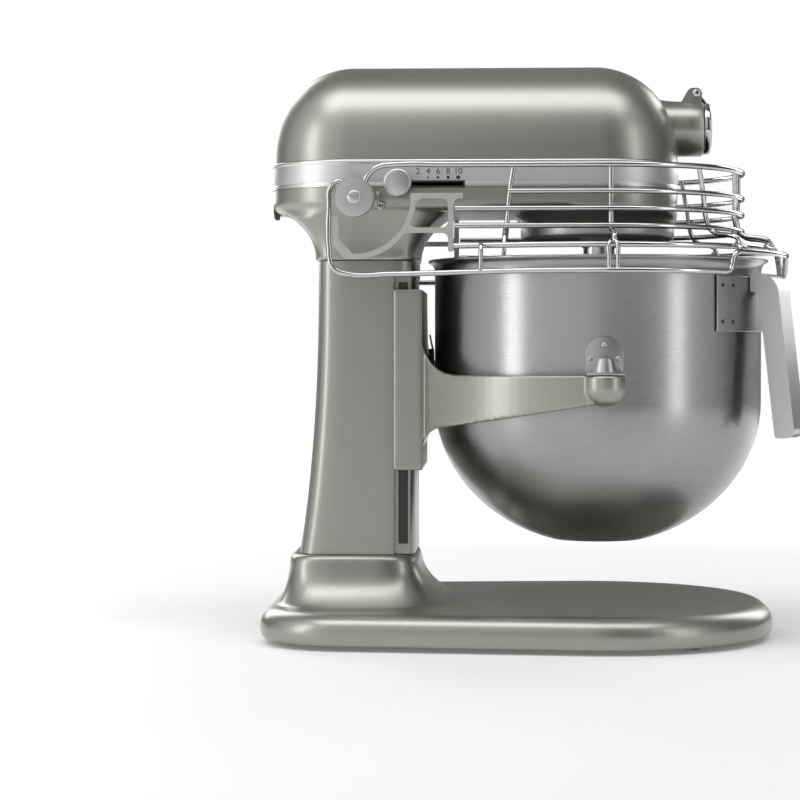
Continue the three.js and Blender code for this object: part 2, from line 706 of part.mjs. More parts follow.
function makeAttachmentDrive() {
  const halfPitch = Math.PI / BEVEL_TEETH;
  const bevel = bevelGear(halfPitch, COUNTER_SHAFT + GAP).rotateY(-right).translate(0, 0, DRIVE_Z);
  add("hub_bevel_gear", bevel, bronze);
  const stem = bar("x", COUNTER_SHAFT, bevelRadius * BEVEL_FACE, HUB_DRIVE[0] + 1, [0, 0, DRIVE_Z]);
  const cup = bar("x", HUB_BORE - RUNNING - 1, HUB_DRIVE[0], HUB_DRIVE[1], [0, 0, DRIVE_Z], 24);
  const square = box([HUB_DRIVE[0] + 5, -4.5, DRIVE_Z - 4.5], [HUB_DRIVE[1] + THROUGH, 4.5, DRIVE_Z + 4.5]);
  add("hub_drive_socket", cut(join(stem, cup), square), steel);
  const sleeve = ring("x", HUB_BORE, HUB_SOCKET, HUB_DRIVE[0] - 4, HUB_FACE - GAP, [0, 0, DRIVE_Z], 32);
  add("hub_sleeve", cut(sleeve, bar("y", STUD + GAP, 0, 40, [HUB_SCREW_X, 0, DRIVE_Z], 12)), chrome);
}

// ---- Motor ----
function makeMotor() {
  const at = [0, 0, motorZ];
  add("motor_stator", ring("x", MOTOR_RADIUS - 5, MOTOR_RADIUS, MOTOR_REAR, MOTOR_FRONT, at, 20), steel);
  const rotor = bar("x", MOTOR_RADIUS - 6.5, MOTOR_REAR + 12, MOTOR_FRONT - 12, at, 18);
  const commutator = bar("x", 11, MOTOR_FRONT - 14, MOTOR_FRONT - 2, at, 20);
  const shaft = bar("x", MOTOR_SHAFT, MOTOR_REAR - 22, COUNTER_GEAR[1], at);
  const motorPitch = (SPUR_MODULE * MOTOR_TEETH) / 2;
  const phase = right + Math.PI / MOTOR_TEETH;
  const pinion = spurAlongX(
    toothed(MOTOR_TEETH, motorPitch - 1.7, motorPitch + 1, phase, 0.26, 0.1), COUNTER_GEAR,
    motorZ,
  );
  add("armature", join(rotor, commutator, shaft, pinion), copper);
  const fan = withHole(toothed(9, 12, MOTOR_RADIUS - 2, 0, 0.2, 0.34), MOTOR_SHAFT + GAP);
  add("cooling_fan", spurAlongX(fan, [MOTOR_REAR - 10, MOTOR_REAR - 5], motorZ), black);
  const foot = box([MOTOR_REAR - 20, -9, CASE_BOTTOM + 5 + GAP], [MOTOR_REAR - 13, 9, motorZ]);
  const pillow = join(bar("x", 12, MOTOR_REAR - 20, MOTOR_REAR - 13, at, 20), foot);
  add("rear_bearing", cut(pillow, bar("x", MOTOR_SHAFT + RUNNING, -300, 0, at)), chrome);

  const floor = CASE_BOTTOM + 5 + GAP;
  const web = outline(
    [
      [-60, floor, 6], [60, floor, 6], [60, 365, 10], [38, DRIVE_Z + 27, 12],
      [-38, DRIVE_Z + 27, 12], [-60, 365, 10],
    ]
  );
  const plate = cut(
    forward(web, ...PLATE_X),
    bar("x", COUNTER_SHAFT + RUNNING, -100, 0, [0, 0, DRIVE_Z]),
    bar("x", MOTOR_SHAFT + RUNNING, -100, 0, at),
  );
  add("gear_plate", plate, aluminium);
  add("speed_board", box([-140, -60, 332], [-100, -57.5, 362]), board);
}

// ---- Agitator ----

function makeAgitator() {
  const at = [0, -agitatorOffset, 0];
  add("agitator_shaft", bar("z", AGITATOR_SHAFT, 252, RING_TOP + 0.3, at), steel);
  const half = [[9, 250], [36, 236], [62, 196], [66, 160], [60, 128], [38, 106], [10, 90]];
  const hoop = new THREE.Shape();
  const around = [...half, ...half.map(([x, z]) => [-x, z]).reverse()].map(([x, z]) =>
    new THREE.Vector2(x, z));
  hoop.setFromPoints(new THREE.SplineCurve(around).getPoints(22));
  const window = (side) =>
    outline(
      [
        [6 * side, 222, 4], [6 * side, 106, 4], [34 * side, 115, 6], [51 * side, 133, 10],
        [57 * side, 160, 10], [53 * side, 192, 10],
      ]
    );
  const rib = sideways(outline([[0, 140], [60, 172], [57, 180], [0, 150]]), -3.5, 3.5);
  const ribLeft = sideways(outline([[0, 140], [0, 150], [-57, 180], [-60, 172]]), -3.5, 3.5);
  const frame = cut(
    sideways(hoop, -BEATER_THICKNESS / 2, BEATER_THICKNESS / 2),
    sideways(window(1), -THROUGH, THROUGH),
    sideways(window(-1), -THROUGH, THROUGH),
  );
  const hub = turned([[0, 236], [8, 238], [12.4, 248], [12.4, BEATER_TOP], [0, BEATER_TOP]], 24);
  const bore = bar("z", AGITATOR_SHAFT + GAP, 252 - GAP, 300, [0, 0, 0]);
  add("flat_beater", cut(join(frame, rib, ribLeft, hub), bore).translate(...at), aluminium);
}

// ---- Controls ----
function makeControls() {
  const leverHalf = SLOT_HEIGHT / 2 - 0.5;
  const inner = -HEAD_HALF_WIDTH + WALL + 3;
  add(
    "speed_lever",
    box([KNOB_X - 3, KNOB_FACE + 5, KNOB_Z - leverHalf], [KNOB_X + 3, inner, KNOB_Z + leverHalf]),
    steel,
  );
  const profile = [
    [0, KNOB_FACE], [KNOB_RADIUS - 1, KNOB_FACE], [KNOB_RADIUS, KNOB_FACE + 1],
    [KNOB_RADIUS, KNOB_FACE + 9], [0, KNOB_FACE + 9],
  ];
  const pocket = box(
    [KNOB_X - 3 - GAP, KNOB_FACE + 5 - GAP, KNOB_Z - leverHalf - GAP],
    [KNOB_X + 3 + GAP, 0, KNOB_Z + leverHalf + GAP],
  );
  add("speed_knob", cut(turned(profile, 32, "y", [KNOB_X, 0, KNOB_Z]), pocket), aluminium);

  const coverAt = [0, 0, DRIVE_Z];
  const back = HUB_FACE + RUNNING;
  const front = HUB_FACE + HUB_COVER_THICKNESS;
  const disc = turned(
    [
      [0, back], [HUB_COVER_RADIUS, back], [HUB_COVER_RADIUS, front - 2],
      [HUB_COVER_RADIUS - 2, front], [0, front + 0.8],
    ],
    36, "x", coverAt,
  );
  const arm = outline([
    [HUB_HINGE[0] - 4.5, HUB_HINGE[1] - 4.5, 4], [HUB_HINGE[0] + 5.6, HUB_HINGE[1] - 4.5],
    [HUB_HINGE[0] + 5.6, DRIVE_Z + 8],
    [front, DRIVE_Z + 8], [front, HUB_HINGE[1] - 3, 4],
    [HUB_HINGE[0] + 4.5, HUB_HINGE[1] + 4.5, 4], [HUB_HINGE[0] - 4.5, HUB_HINGE[1] + 4.5, 4],
  ]);
  const knuckle = bar("y", HINGE_PIN + GAP, -10, 10, [HUB_HINGE[0], 0, HUB_HINGE[1]], 12);
  add("hub_cover", cut(join(disc, sideways(arm, -3, 3)), knuckle), chrome);
  add("hub_cover_pin", bar("y", HINGE_PIN, -8, 8, [HUB_HINGE[0], 0, HUB_HINGE[1]], 12), chrome);

  const knobNear = HUB_RADIUS + 4;
  const screw = turned(
    [
      [0, HUB_BORE + 1.5], [STUD, HUB_BORE + 1.5], [STUD, knobNear], [9, knobNear],
      [10, knobNear + 2], [10, knobNear + 12], [8, knobNear + 14], [0, knobNear + 14],
    ],
    18, "y", [HUB_SCREW_X, 0, DRIVE_Z],
  );
  add("hub_thumb_screw", screw, black);
}

// ---- Bowl ----
function bowlProfile() {
  const height = BOWL_KNUCKLE - BOWL_BOTTOM;
  const outer = [];
  const start = Math.asin(FOOT_RADIUS / BOWL_RADIUS);
  for (let i = 0; i <= 6; i++) {
    const angle = THREE.MathUtils.lerp(start, right, i / 6);
    outer.push([BOWL_RADIUS * Math.sin(angle), BOWL_KNUCKLE - height * Math.cos(angle)]);
  }
  const flat = outer[0][1];
  const inner = outer.map(([r, z]) =>
    [
      r - BOWL_WALL * (r / BOWL_RADIUS) - (r === FOOT_RADIUS ? 1 : 0),
      z + BOWL_WALL * Math.max(0, (BOWL_KNUCKLE - z) / height),
    ]);
  const rim = [
    [BOWL_RADIUS, BOWL_RIM - 6], [LIP_RADIUS - 0.8, BOWL_RIM - 1.6], [LIP_RADIUS, BOWL_RIM - 0.4],
    [LIP_RADIUS - 0.8, BOWL_RIM + 0.6], [BOWL_RADIUS - BOWL_WALL, BOWL_RIM - 4.5],
  ];
  return [[0, flat], ...outer, ...rim, ...inner.reverse(), [0, flat + BOWL_WALL]];
}

function makeBowl() {
  add("bowl", turned(bowlProfile(), ROUND), stainless);

  const arc = HANDLE_PLATE_ARC / 2;
  const inner = BOWL_RADIUS + GAP + 0.3;
  const outer = inner + PLATE;
  const sector = new THREE.Shape().absarc(0, 0, outer, -arc, arc, false).absarc(0, 0, inner, arc, -arc, true);
  add("handle_plate", prism(sector, 222, HANDLE_TOP - 2, 6).rotateZ(HANDLE_AZIMUTH), stainless);

  const root = outer + GAP;
  const grip = outline([
    [root, HANDLE_TOP - 13], [BOWL_RADIUS + 8.5, HANDLE_TOP - 13, 6],
    [BOWL_RADIUS + 21, HANDLE_BOTTOM, 2], [BOWL_RADIUS + 36, HANDLE_BOTTOM, 5],
    [BOWL_RADIUS + 22, HANDLE_TOP, 15], [root, HANDLE_TOP],
  ]);
  const channel = outline([
    [root - 10, HANDLE_BOTTOM - 10], [BOWL_RADIUS + 35.6, HANDLE_BOTTOM - 10],
    [BOWL_RADIUS + 22 - HANDLE_SHEET, HANDLE_TOP - HANDLE_SHEET, 13.4],
    [root - 10, HANDLE_TOP - HANDLE_SHEET],
  ]);
  const width = HANDLE_WIDTH / 2;
  const handle = cut(
    sideways(grip, -width, width, 3),
    sideways(channel, HANDLE_SHEET - width, width - HANDLE_SHEET, 3),
  );
  add("bowl_handle", geometry(handle).rotateZ(HANDLE_AZIMUTH), stainless);

  for (const [name, side] of SIDES) {
    const [plateNear, plateFar] = span(side, BOWL_RADIUS + GAP, BOWL_RADIUS + GAP + PLATE);
    const low = ARM_TOP + GAP;
    const arch = sideways(
      outline([[-13, low], [13, low], [13, 219, 12.9], [-13, 219, 12.9]]), plateNear, plateFar,
      4,
    );
    const [near, far] = span(side, BOWL_RADIUS + GAP, ARM_AXIS + 11);
    const flange = box([-13, near, low], [13, far, low + 2]);
    const cone = bar("z", 8.5, low, PIN_TOP + 4, [0, side * ARM_AXIS, 0], 14, 6.5);
    const bore = bar("z", PIN_RADIUS + 0.5, low - THROUGH, PIN_TOP + 1, [0, side * ARM_AXIS, 0], 14);
    add("bowl_bracket_" + name, cut(join(arch, flange, cone), bore), stainless);
  }
  const latch = outline(
    [[-123.6, 197], [-120.6, 199], [-120.6, 208, 1], [-123.4, 221], [-124.2, 221], [-121.8, 208, 1]]
  );
  const button = bar("x", 4.5, -124.6, -120.6, [0, 0, 206], 16);
  add("rear_latch_spring", join(sideways(latch, -7, 7), button), steel);
}

// ---- Yoke, lift rod and lever ----
function makeYoke() {
  const inner = ARM_AXIS - ARM_THICKNESS / 2;
  const outer = ARM_AXIS + ARM_THICKNESS / 2;
  const band = new THREE.Shape().absarc(
    0, 0, outer, right, 3 * right, false,
  ).absarc(0, 0, inner, 3 * right, right, true);
  const front = COLUMN_FRONT + RUNNING;
  const face = front + 5;
  const armView = outline([
    [front, YOKE_BOTTOM], [face, YOKE_BOTTOM, 1], [face - 1, 152, 18], [4, 174], [4, ARM_TOP],
    [face + 1, ARM_TOP, 24], [face, YOKE_TOP, 1], [front, YOKE_TOP],
  ]);
  const arms = common(prism(band, YOKE_BOTTOM, YOKE_TOP, 7), sideways(armView, -160, 160, 3));
  const half = GUIDE_HALF_WIDTH + RUNNING + 7;
  const plate = box([front, -half, YOKE_BOTTOM], [face, half, YOKE_TOP]);
  const cheekX = [COLUMN_FRONT - GUIDE_DEPTH + RUNNING, face];
  const pieces = [plate];
  const tools = [];
  for (const [name, side] of SIDES) {
    const [near, far] = span(side, GUIDE_HALF_WIDTH + RUNNING, half);
    pieces.push(box([cheekX[0], near, YOKE_BOTTOM], [cheekX[1], far, YOKE_TOP]));
    const [railNear, railFar] = span(side, GUIDE_HALF_WIDTH, GUIDE_HALF_WIDTH + RAIL_PROUD + RUNNING);
    tools.push(
      box(
        [railX - RAIL / 2 - RUNNING, railNear, YOKE_BOTTOM - 1],
        [railX + RAIL / 2 + RUNNING, railFar, YOKE_TOP + 1],
      )
    );
    const profile = [
      [0, ARM_TOP - 21], [7, ARM_TOP - 20], [12.5, ARM_TOP - 16], [BOSS_RADIUS, ARM_TOP - 9],
      [BOSS_RADIUS, ARM_TOP - 1], [BOSS_RADIUS - 1, ARM_TOP], [0, ARM_TOP],
    ];
    pieces.push(turned(profile, 20, "z", [0, side * ARM_AXIS, 0]));
    tools.push(bar("z", PIN_STEM + GAP, ARM_TOP - 10, ARM_TOP + 1, [0, side * ARM_AXIS, 0], 16));
    const pin = [
      [0, ARM_TOP - 10 + GAP], [PIN_STEM, ARM_TOP - 10 + GAP], [PIN_STEM, ARM_TOP + GAP],
      [PIN_RADIUS, ARM_TOP + GAP], [PIN_RADIUS, PIN_TOP - 3], [2, PIN_TOP], [0, PIN_TOP],
    ];
    add("locating_pin_" + name, turned(pin, 12, "z", [0, side * ARM_AXIS, 0]), chrome);
  }
  tools.push(box([front - 1, -LUG_HALF - GAP, LUG.bottom - GAP], [front + 3, LUG_HALF + GAP, LUG.top + GAP]));
  tools.push(bar("z", BOWL_RADIUS + SWEEP, YOKE_BOTTOM - 1, YOKE_TOP + 1, [0, 0, 0], ROUND));
  add("lift_yoke", cut(join(arms, ...pieces), ...tools), paint);

  const rodX = LEVER_PIVOT[0] - CRANK * 0.77;
  const lug = box([rodX - 4, -LUG_HALF, LUG.bottom], [front + 3 - GAP, LUG_HALF, LUG.top]);
  const rod = box([rodX - 4, -3, LEVER_PIVOT[1] + LIFT / 2 + 4], [rodX + 3, 3, LUG.top - 1]);
  add("lift_rod", join(lug, rod), steel);
}

function makeLever() {
  const [x, z] = LEVER_PIVOT;
  const outside = COLUMN_HALF_WIDTH + 1.5;
  const rise = LIFT / 2;
  const pinX = x - Math.sqrt(CRANK ** 2 - rise ** 2);
  const shaft = bar("y", SHAFT_RADIUS, -HOLLOW_HALF - 5, outside + 10, [x, 0, z], 24);
  const web = outline(
    [
      [x - 5, z - 8, 4], [x + 8, z - 4, 4], [x + 4, z + 8, 4], [pinX + 3, z + rise + 4, 3],
      [pinX - 4, z + rise + 1, 3],
    ]
  );
  const crankPin = bar("y", 3, 9, 14, [pinX, 0, z + rise], 16);
  add("lever_shaft", join(shaft, sideways(web, 13, 19), crankPin), steel);

  const eye = [SHAFT_RADIUS + GAP, outside, outside + 10.6];
  const arm = outline(
    [
      [x - 9, z - 9, 8], [x + 9, z - 9, 8], [x + 5, z + LEVER_LENGTH, 4],
      [x - 5, z + LEVER_LENGTH, 4],
    ]
  );
  const handle = cut(
    sideways(arm, outside, outside + 7), bar("y", eye[0], eye[1] - 1, eye[2], [x, 0, z], 24),
  );
  const stub = bar("y", 4, outside + 4, outside + 16, [x, 0, z + LEVER_LENGTH - 8], 16);
  add("lift_lever", join(handle, stub), aluminium);
  const grip = [
    [4 + GAP, outside + 7.5], [9, outside + 8], [11, outside + 16], [10.5, outside + 28],
    [7, outside + 33], [0, outside + 34], [0, outside + 17], [4 + GAP, outside + 17],
  ];
  add("lever_grip", turned(grip, 16, "y", [x, 0, z + LEVER_LENGTH - 8]), black);
}

// ---- Guard ----
// A point on a guard hoop: straight sides behind the bowl's axis, then a half circle in front of it.
const onHoop = (radius, azimuth, z) => new THREE.Vector3(
  radius * Math.sin(azimuth), -radius * Math.cos(azimuth), z,
);
const mirrored = (points) => points.map((p) => new THREE.Vector3(p.x, -p.y, p.z));

// A hoop: its near side's lead-in points, the half circle, and the same lead-in on the far side.
function hoop(lead, radius, height, radiusOfWire, steps) {
  const arc = [];
  for (let i = 0; i <= 16; i++) {
    const azimuth = (i / 16) * Math.PI;
    arc.push(onHoop(radius, azimuth, height(azimuth)));
  }
  return wire([...lead, ...arc, ...mirrored(lead).reverse()], radiusOfWire, steps);
}

function makeGuard() {
  const y = -GUARD_Y;
  const point = (x, z, offset = 0) => new THREE.Vector3(x, y + offset, z);
  const barFront = BRACKET_BAR_X + BAR / 2 + GAP + WIRE / 3;
  const flat = ({ z }) => () => z;
  const upperLead = [
    point(PIVOT_X + 6, 324), point(PIVOT_X + 10, 331), point(PIVOT_X + 17, 337),
    point(PIVOT_X + 28, RING_ONE.z), point(-60, RING_ONE.z),
  ];
  const lowerLead = [
    point(PIVOT_X - 5, 324), point(PIVOT_X - 12, 327), point(
      PIVOT_X - 17.5, 321,
    ), point(PIVOT_X - 18, 310), point(PIVOT_X - 18, 280),
    point(PIVOT_X - 14, 267), point(PIVOT_X - 4, 262.5), point(
      PIVOT_X + 50, RING_SIX.z - 1.5, -7,
    ), point(-50, RING_SIX.z, -25),
  ];
  const kinkAt = right + HANDLE_AZIMUTH;
  const kink = (azimuth) => RING_SIX.z + RING_SIX.kink * THREE.MathUtils.smoothstep(
    0.46 - Math.abs(azimuth - kinkAt), 0, 0.14,
  );
  const pieces = [
    hoop(upperLead, RING_ONE.radius, flat(RING_ONE), WIRE + 0.2, 26),
    hoop([point(-66, RING_TWO.z)], RING_TWO.radius, flat(RING_TWO), WIRE, 13),
    hoop(
      [point(barFront, RING_THREE.z), point(-50, RING_THREE.z)], RING_THREE.radius,
      flat(RING_THREE), WIRE, 15,
    ),
    hoop(
      [point(barFront, RING_FOUR.z), point(-50, RING_FOUR.z)], RING_FOUR.radius,
      flat(RING_FOUR), WIRE, 15,
    ),
    hoop(
      [point(barFront, RING_FIVE.z), point(-60, RING_FIVE.z, -16)], RING_FIVE.radius,
      flat(RING_FIVE), WIRE + 0.2, 15,
    ),
    hoop(lowerLead, RING_SIX.radius, kink, WIRE + 0.1, 40),
  ];
  const inside = WIRE * 1.3;
  const upright = (azimuth, lean) => {
    const at = (radius, z) => onHoop(radius, azimuth + lean * (RING_ONE.z - z), z);
    const top = RING_ONE.radius - inside;
    return [
      at(top, RING_ONE.z + 1), at(top, 299), at(top + 4, 293), at(RING_FIVE.radius - 4, 289.5),
      at(RING_FIVE.radius - 1, RING_FIVE.z),
    ];
  };
  const sideUpright = [
    point(-62, RING_ONE.z + 1, inside), point(-67, 299, inside), point(-68, 293),
    point(-69, 287, -9), point(-69, RING_FIVE.z, -9.6),
  ];
  const both = (points) => [points, mirrored(points)];
  const uprights = [
    ...both(sideUpright), ...both(upright(0.05, 0)), ...both(upright(0.72, 0.0022)),
    upright(right, 0),
  ];
  const link = (azimuth) => [
    onHoop(RING_FIVE.radius + 1.4, azimuth, RING_FIVE.z),
    onHoop(RING_SIX.radius - 2, azimuth, RING_FIVE.z - 1),
    onHoop(RING_SIX.radius, azimuth, kink(azimuth)),
  ];
  const sideLink = [
    new THREE.Vector3(-85, -114, RING_FIVE.z), new THREE.Vector3(-85, -119, RING_FIVE.z - 2),
    new THREE.Vector3(-85, -121.5, RING_SIX.z),
  ];
  const links = [...both(sideLink), ...both(link(0.04)), link(right + 0.1), link(Math.PI - 0.8)];
  for (const points of uprights) pieces.push(wire(points, WIRE - 0.1, 4));
  for (const points of links) pieces.push(wire(points, WIRE - 0.2, 3));
  const [, ...rest] = pieces;
  const tools = [];
  for (const [name, side] of SIDES) {
    const [near, far] = span(side, GUARD_Y - GUARD_PLATE / 2, GUARD_Y + GUARD_PLATE / 2);
    rest.push(bar("y", LUG_EYE, near, far, [PIVOT_X, 0, PIVOT_Z], 16));
    tools.push(bar("y", SPIGOT + RUNNING, near - 1, far + 1, [PIVOT_X, 0, PIVOT_Z], 16));
    makeBracket(name, near, far);
    makePost(name, side);
  }
  add("guard_basket", cut(join(pieces[0], ...rest), ...tools), chrome);
}

function makeBracket(name, near, far) {
  const radius = 41;
  const half = BAR / 2;
  const start = 0.02;
  const end = -1.75;
  const arc = new THREE.Shape().absarc(PIVOT_X, PIVOT_Z, radius + half, start, end, true).absarc(
    PIVOT_X, PIVOT_Z, radius - half, end, start, false,
  );
  const left = PIVOT_X - 18 + WIRE + GAP + 0.6;
  const rect = (x0, x1, z0, z1) => outline([[x0, z0], [x1, z0], [x1, z1], [x0, z1]]);
  const bars = [
    rect(-134.2, -97.5, PIVOT_Z - 0.6, PIVOT_Z + 3),
    rect(BRACKET_BAR_X - half, BRACKET_BAR_X + half, 278, PIVOT_Z + 2),
    rect(-141, BRACKET_BAR_X, 291, 291 + BAR),
    outline(
      [
        [left, 303], [left, 283, 6], [left + 8, 273], [left + 14, 276.5], [left + BAR, 286, 4],
        [left + BAR, 303],
      ]
    ),
  ];
  const pieces = [arc, ...bars].map((shape) => sideways(shape, near, far, 5));
  add("guard_bracket_" + name, join(...pieces), aluminium);
}

function makePost(name, side) {
  const plateNear = GUARD_Y - GUARD_PLATE / 2;
  const plateFar = GUARD_Y + GUARD_PLATE / 2;
  const foot = HEAD_HALF_WIDTH + GAP;
  const mirror = (profile) => profile.map(([radius, y]) => [radius, side * y]);
  const post = [
    [0, foot], [9, foot], [9, foot + 3], [POST_RADIUS, foot + 5],
    [POST_RADIUS, plateNear - RUNNING], [SPIGOT, plateNear - RUNNING],
    [SPIGOT, plateFar + RUNNING], [0, plateFar + RUNNING],
  ];
  add("guard_post_" + name, turned(mirror(post), 14, "y", [PIVOT_X, 0, PIVOT_Z]), stainless);
  const disc = plateFar + RUNNING + GAP;
  const screw = turned(
    mirror(
      [
        [0, disc], [14, disc], [14, disc + 2.2], [13.2, disc + 3], [4.7, disc + 3],
        [4.7, disc + 5], [4, disc + 5.6], [0, disc + 5.6],
      ]
    ),
    24, "y", [PIVOT_X, 0, PIVOT_Z],
  );
  const [slotNear, slotFar] = span(side, disc + 4.4, disc + 8);
  const slot = box([-6, slotNear, -0.6], [6, slotFar, 0.6]).rotateY(0.45).translate(PIVOT_X, 0, PIVOT_Z);
  add("guard_screw_" + name, cut(screw, slot), aluminium);
}

makeBase();
makeBaseCover();
makeColumn();
makeMotorHousing();
makeGearHousing();
makeTrim();
makeInlet();
makeCarrier();
makeTransmission();
makeCountershaft();
makeAttachmentDrive();
makeMotor();
makeAgitator();
makeControls();
makeBowl();
makeYoke();
makeLever();
makeGuard();

export default mixer;
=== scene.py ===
"""The looks of a bowl-lift stand mixer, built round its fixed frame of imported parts.

The shapes are worked out in millimetres and written to the meshes in metres. +X is the mixer's front,
+Y its own left and +Z up. Run it as a script: it registers its operators and calls them in order.
"""

import json
import math
import bmesh
import bpy
from mathutils import Matrix, Vector


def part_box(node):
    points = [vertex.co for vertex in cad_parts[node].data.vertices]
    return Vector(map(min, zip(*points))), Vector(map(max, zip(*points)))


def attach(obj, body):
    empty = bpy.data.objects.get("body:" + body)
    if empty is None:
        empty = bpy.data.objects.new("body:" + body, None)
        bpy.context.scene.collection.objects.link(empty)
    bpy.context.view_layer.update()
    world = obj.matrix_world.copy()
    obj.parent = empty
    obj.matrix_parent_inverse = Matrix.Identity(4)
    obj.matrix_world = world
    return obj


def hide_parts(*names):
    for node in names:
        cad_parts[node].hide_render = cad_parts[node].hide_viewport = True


bl_info = {
    "name": "Stand mixer",
    "version": (1, 0, 0),
    "blender": (4, 5, 0),
    "location": "View3D > Sidebar > Mixer",
    "description": "Castings, bowl, wire guard and finishes of a bowl-lift stand mixer",
    "category": "Add Mesh",
}

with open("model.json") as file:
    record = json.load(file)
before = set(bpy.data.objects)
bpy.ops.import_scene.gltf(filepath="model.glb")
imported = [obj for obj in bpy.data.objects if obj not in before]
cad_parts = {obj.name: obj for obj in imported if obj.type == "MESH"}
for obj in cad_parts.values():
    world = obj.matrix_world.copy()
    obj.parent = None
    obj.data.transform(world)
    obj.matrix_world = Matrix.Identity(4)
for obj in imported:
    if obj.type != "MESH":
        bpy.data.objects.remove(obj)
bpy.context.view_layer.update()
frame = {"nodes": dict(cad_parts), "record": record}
MM = 0.001
RIGHT = math.pi / 2


def low(node):
    """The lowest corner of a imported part, in millimetres."""
    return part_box(node)[0] / MM


def high(node):
    """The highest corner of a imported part, in millimetres."""
    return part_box(node)[1] / MM


def centre(node):
    return (low(node) + high(node)) / 2


# ---- Driving sizes: from the frame where it has them, otherwise in millimetres ----
HEAD_REAR = low("gear_housing").x
HEAD_FRONT = high("trim_band").x - 0.7
HEAD_HALF = high("gear_housing").y
HEAD_TOP = high("motor_housing").z
BAND_LOW = low("trim_band").z
BAND_HIGH = high("trim_band").z
COLUMN_FRONT = high("column").x
BASE_TOP = 26.0
PEDESTAL_TOP = high("base").z
HUB_Z = centre("hub_sleeve").z
HUB_FACE = high("motor_housing").x
PIVOT = centre("guard_screw_right")
KNOB = centre("speed_knob")
AGITATOR_Y = centre("agitator_shaft").y
PIN_RADIUS = 4.5
PIN_Y = high("locating_pin_left").y - PIN_RADIUS
ARM_TOP = low("bowl_bracket_right").z - 0.3
HANDLE_TURN = math.radians(-25)
SIDES = (("right", -1), ("left", 1))
BASE_WIDE = 150.0  # the base's half width at its front, before the corners are rounded
BASE_NARROW = 118.0  # the same at its rear
BASE_FRONT_FLAT = 11.0
BASE_REAR_CORNER = 62
DISH_X = 14
DISH_RADIUS = 106
PEDESTAL = ((-131, 42), (-225, -14), (64, 38))  # front, rear and half width at its top, and how far each flares
GUIDE_TOP = 262
GUIDE_HALF = 50
GUIDE_DEPTH = 15
LEVER_PIVOT = (-160, 0, 170)
HEAD_CORNER = 59.0
DOME_HEIGHT = 72
CASE_BOTTOM = 309.0
NOSE_BOTTOM = 300.3
NUMBER_Z = 334.6
DOT_Z = 332.2
SCALE = (-130.0, -101.5)  # from the first number to the last
HUB_RADIUS = 20.2
HUB_HINGE = Vector((72, 0, 398))
BOWL_RIM = 275.0
BOWL_KNUCKLE = 172.0  # where the bowl's straight wall turns into its round bottom
BOWL_DEPTH = 106  # depth of that round bottom
BOWL_FOOT = 34
PLATE_INSIDE = 120.6  # radius of the handle plate's inner face
BEATER_HALF = ((9, 250), (36, 236), (62, 196), (66, 160), (60, 128), (38, 106), (10, 90))
BEATER_WINDOW = ((6, 222, 4), (6, 106, 4), (34, 115, 6), (51, 133, 10), (57, 160, 10), (53, 192, 10))


# ---- Shader expressions ----
class Expr:
    """A socket in a node tree; sums and products of it add Math nodes."""

    def __init__(self, tree, socket):
        self.tree = tree
        self.socket = socket

    def __add__(self, other):
        return self.tree.maths("ADD", self, other)

    def __radd__(self, other):
        return self.tree.maths("ADD", other, self)

    def __sub__(self, other):
        return self.tree.maths("SUBTRACT", self, other)

    def __rsub__(self, other):
        return self.tree.maths("SUBTRACT", other, self)

    def __mul__(self, other):
        return self.tree.maths("MULTIPLY", self, other)

    def __rmul__(self, other):
        return self.tree.maths("MULTIPLY", other, self)


class Tree:
    """A node tree that grows by one method."""

    def __init__(self, tree):
        self.tree = tree

    def node(self, kind, settings=None, inputs=None, output=0):
        """Adds a node, sets it up, feeds its sockets and returns one of its outputs."""
        made = self.tree.nodes.new("ShaderNode" + kind)
        for key, value in (settings or {}).items():
            if key == "stops":
                self.stops(made.color_ramp.elements, value)
            else:
                setattr(made, key, value)
        for key, value in (inputs or {}).items():
            self.feed(made.inputs[key], value)
        return Expr(self, made.outputs[output])

    def stops(self, elements, stops):
        """Fills a ramp's stops, each (place, grey)."""
        for _ in stops[2:]:
            elements.new(1.0)
        for element, (place, grey) in zip(elements, stops):
            element.position = place
            element.color = (grey, grey, grey, 1)

    def feed(self, socket, value):
        if isinstance(value, Expr):
            self.tree.links.new(value.socket, socket)
        else:
            socket.default_value = value

    def split(self, vector):
        """The three parts of a vector."""
        outputs = self.node("SeparateXYZ", {}, {0: vector}).socket.node.outputs
        return [Expr(self, output) for output in outputs]

    def maths(self, operation, first, second):
        return self.node("Math", {"operation": operation}, {0: first, 1: second})


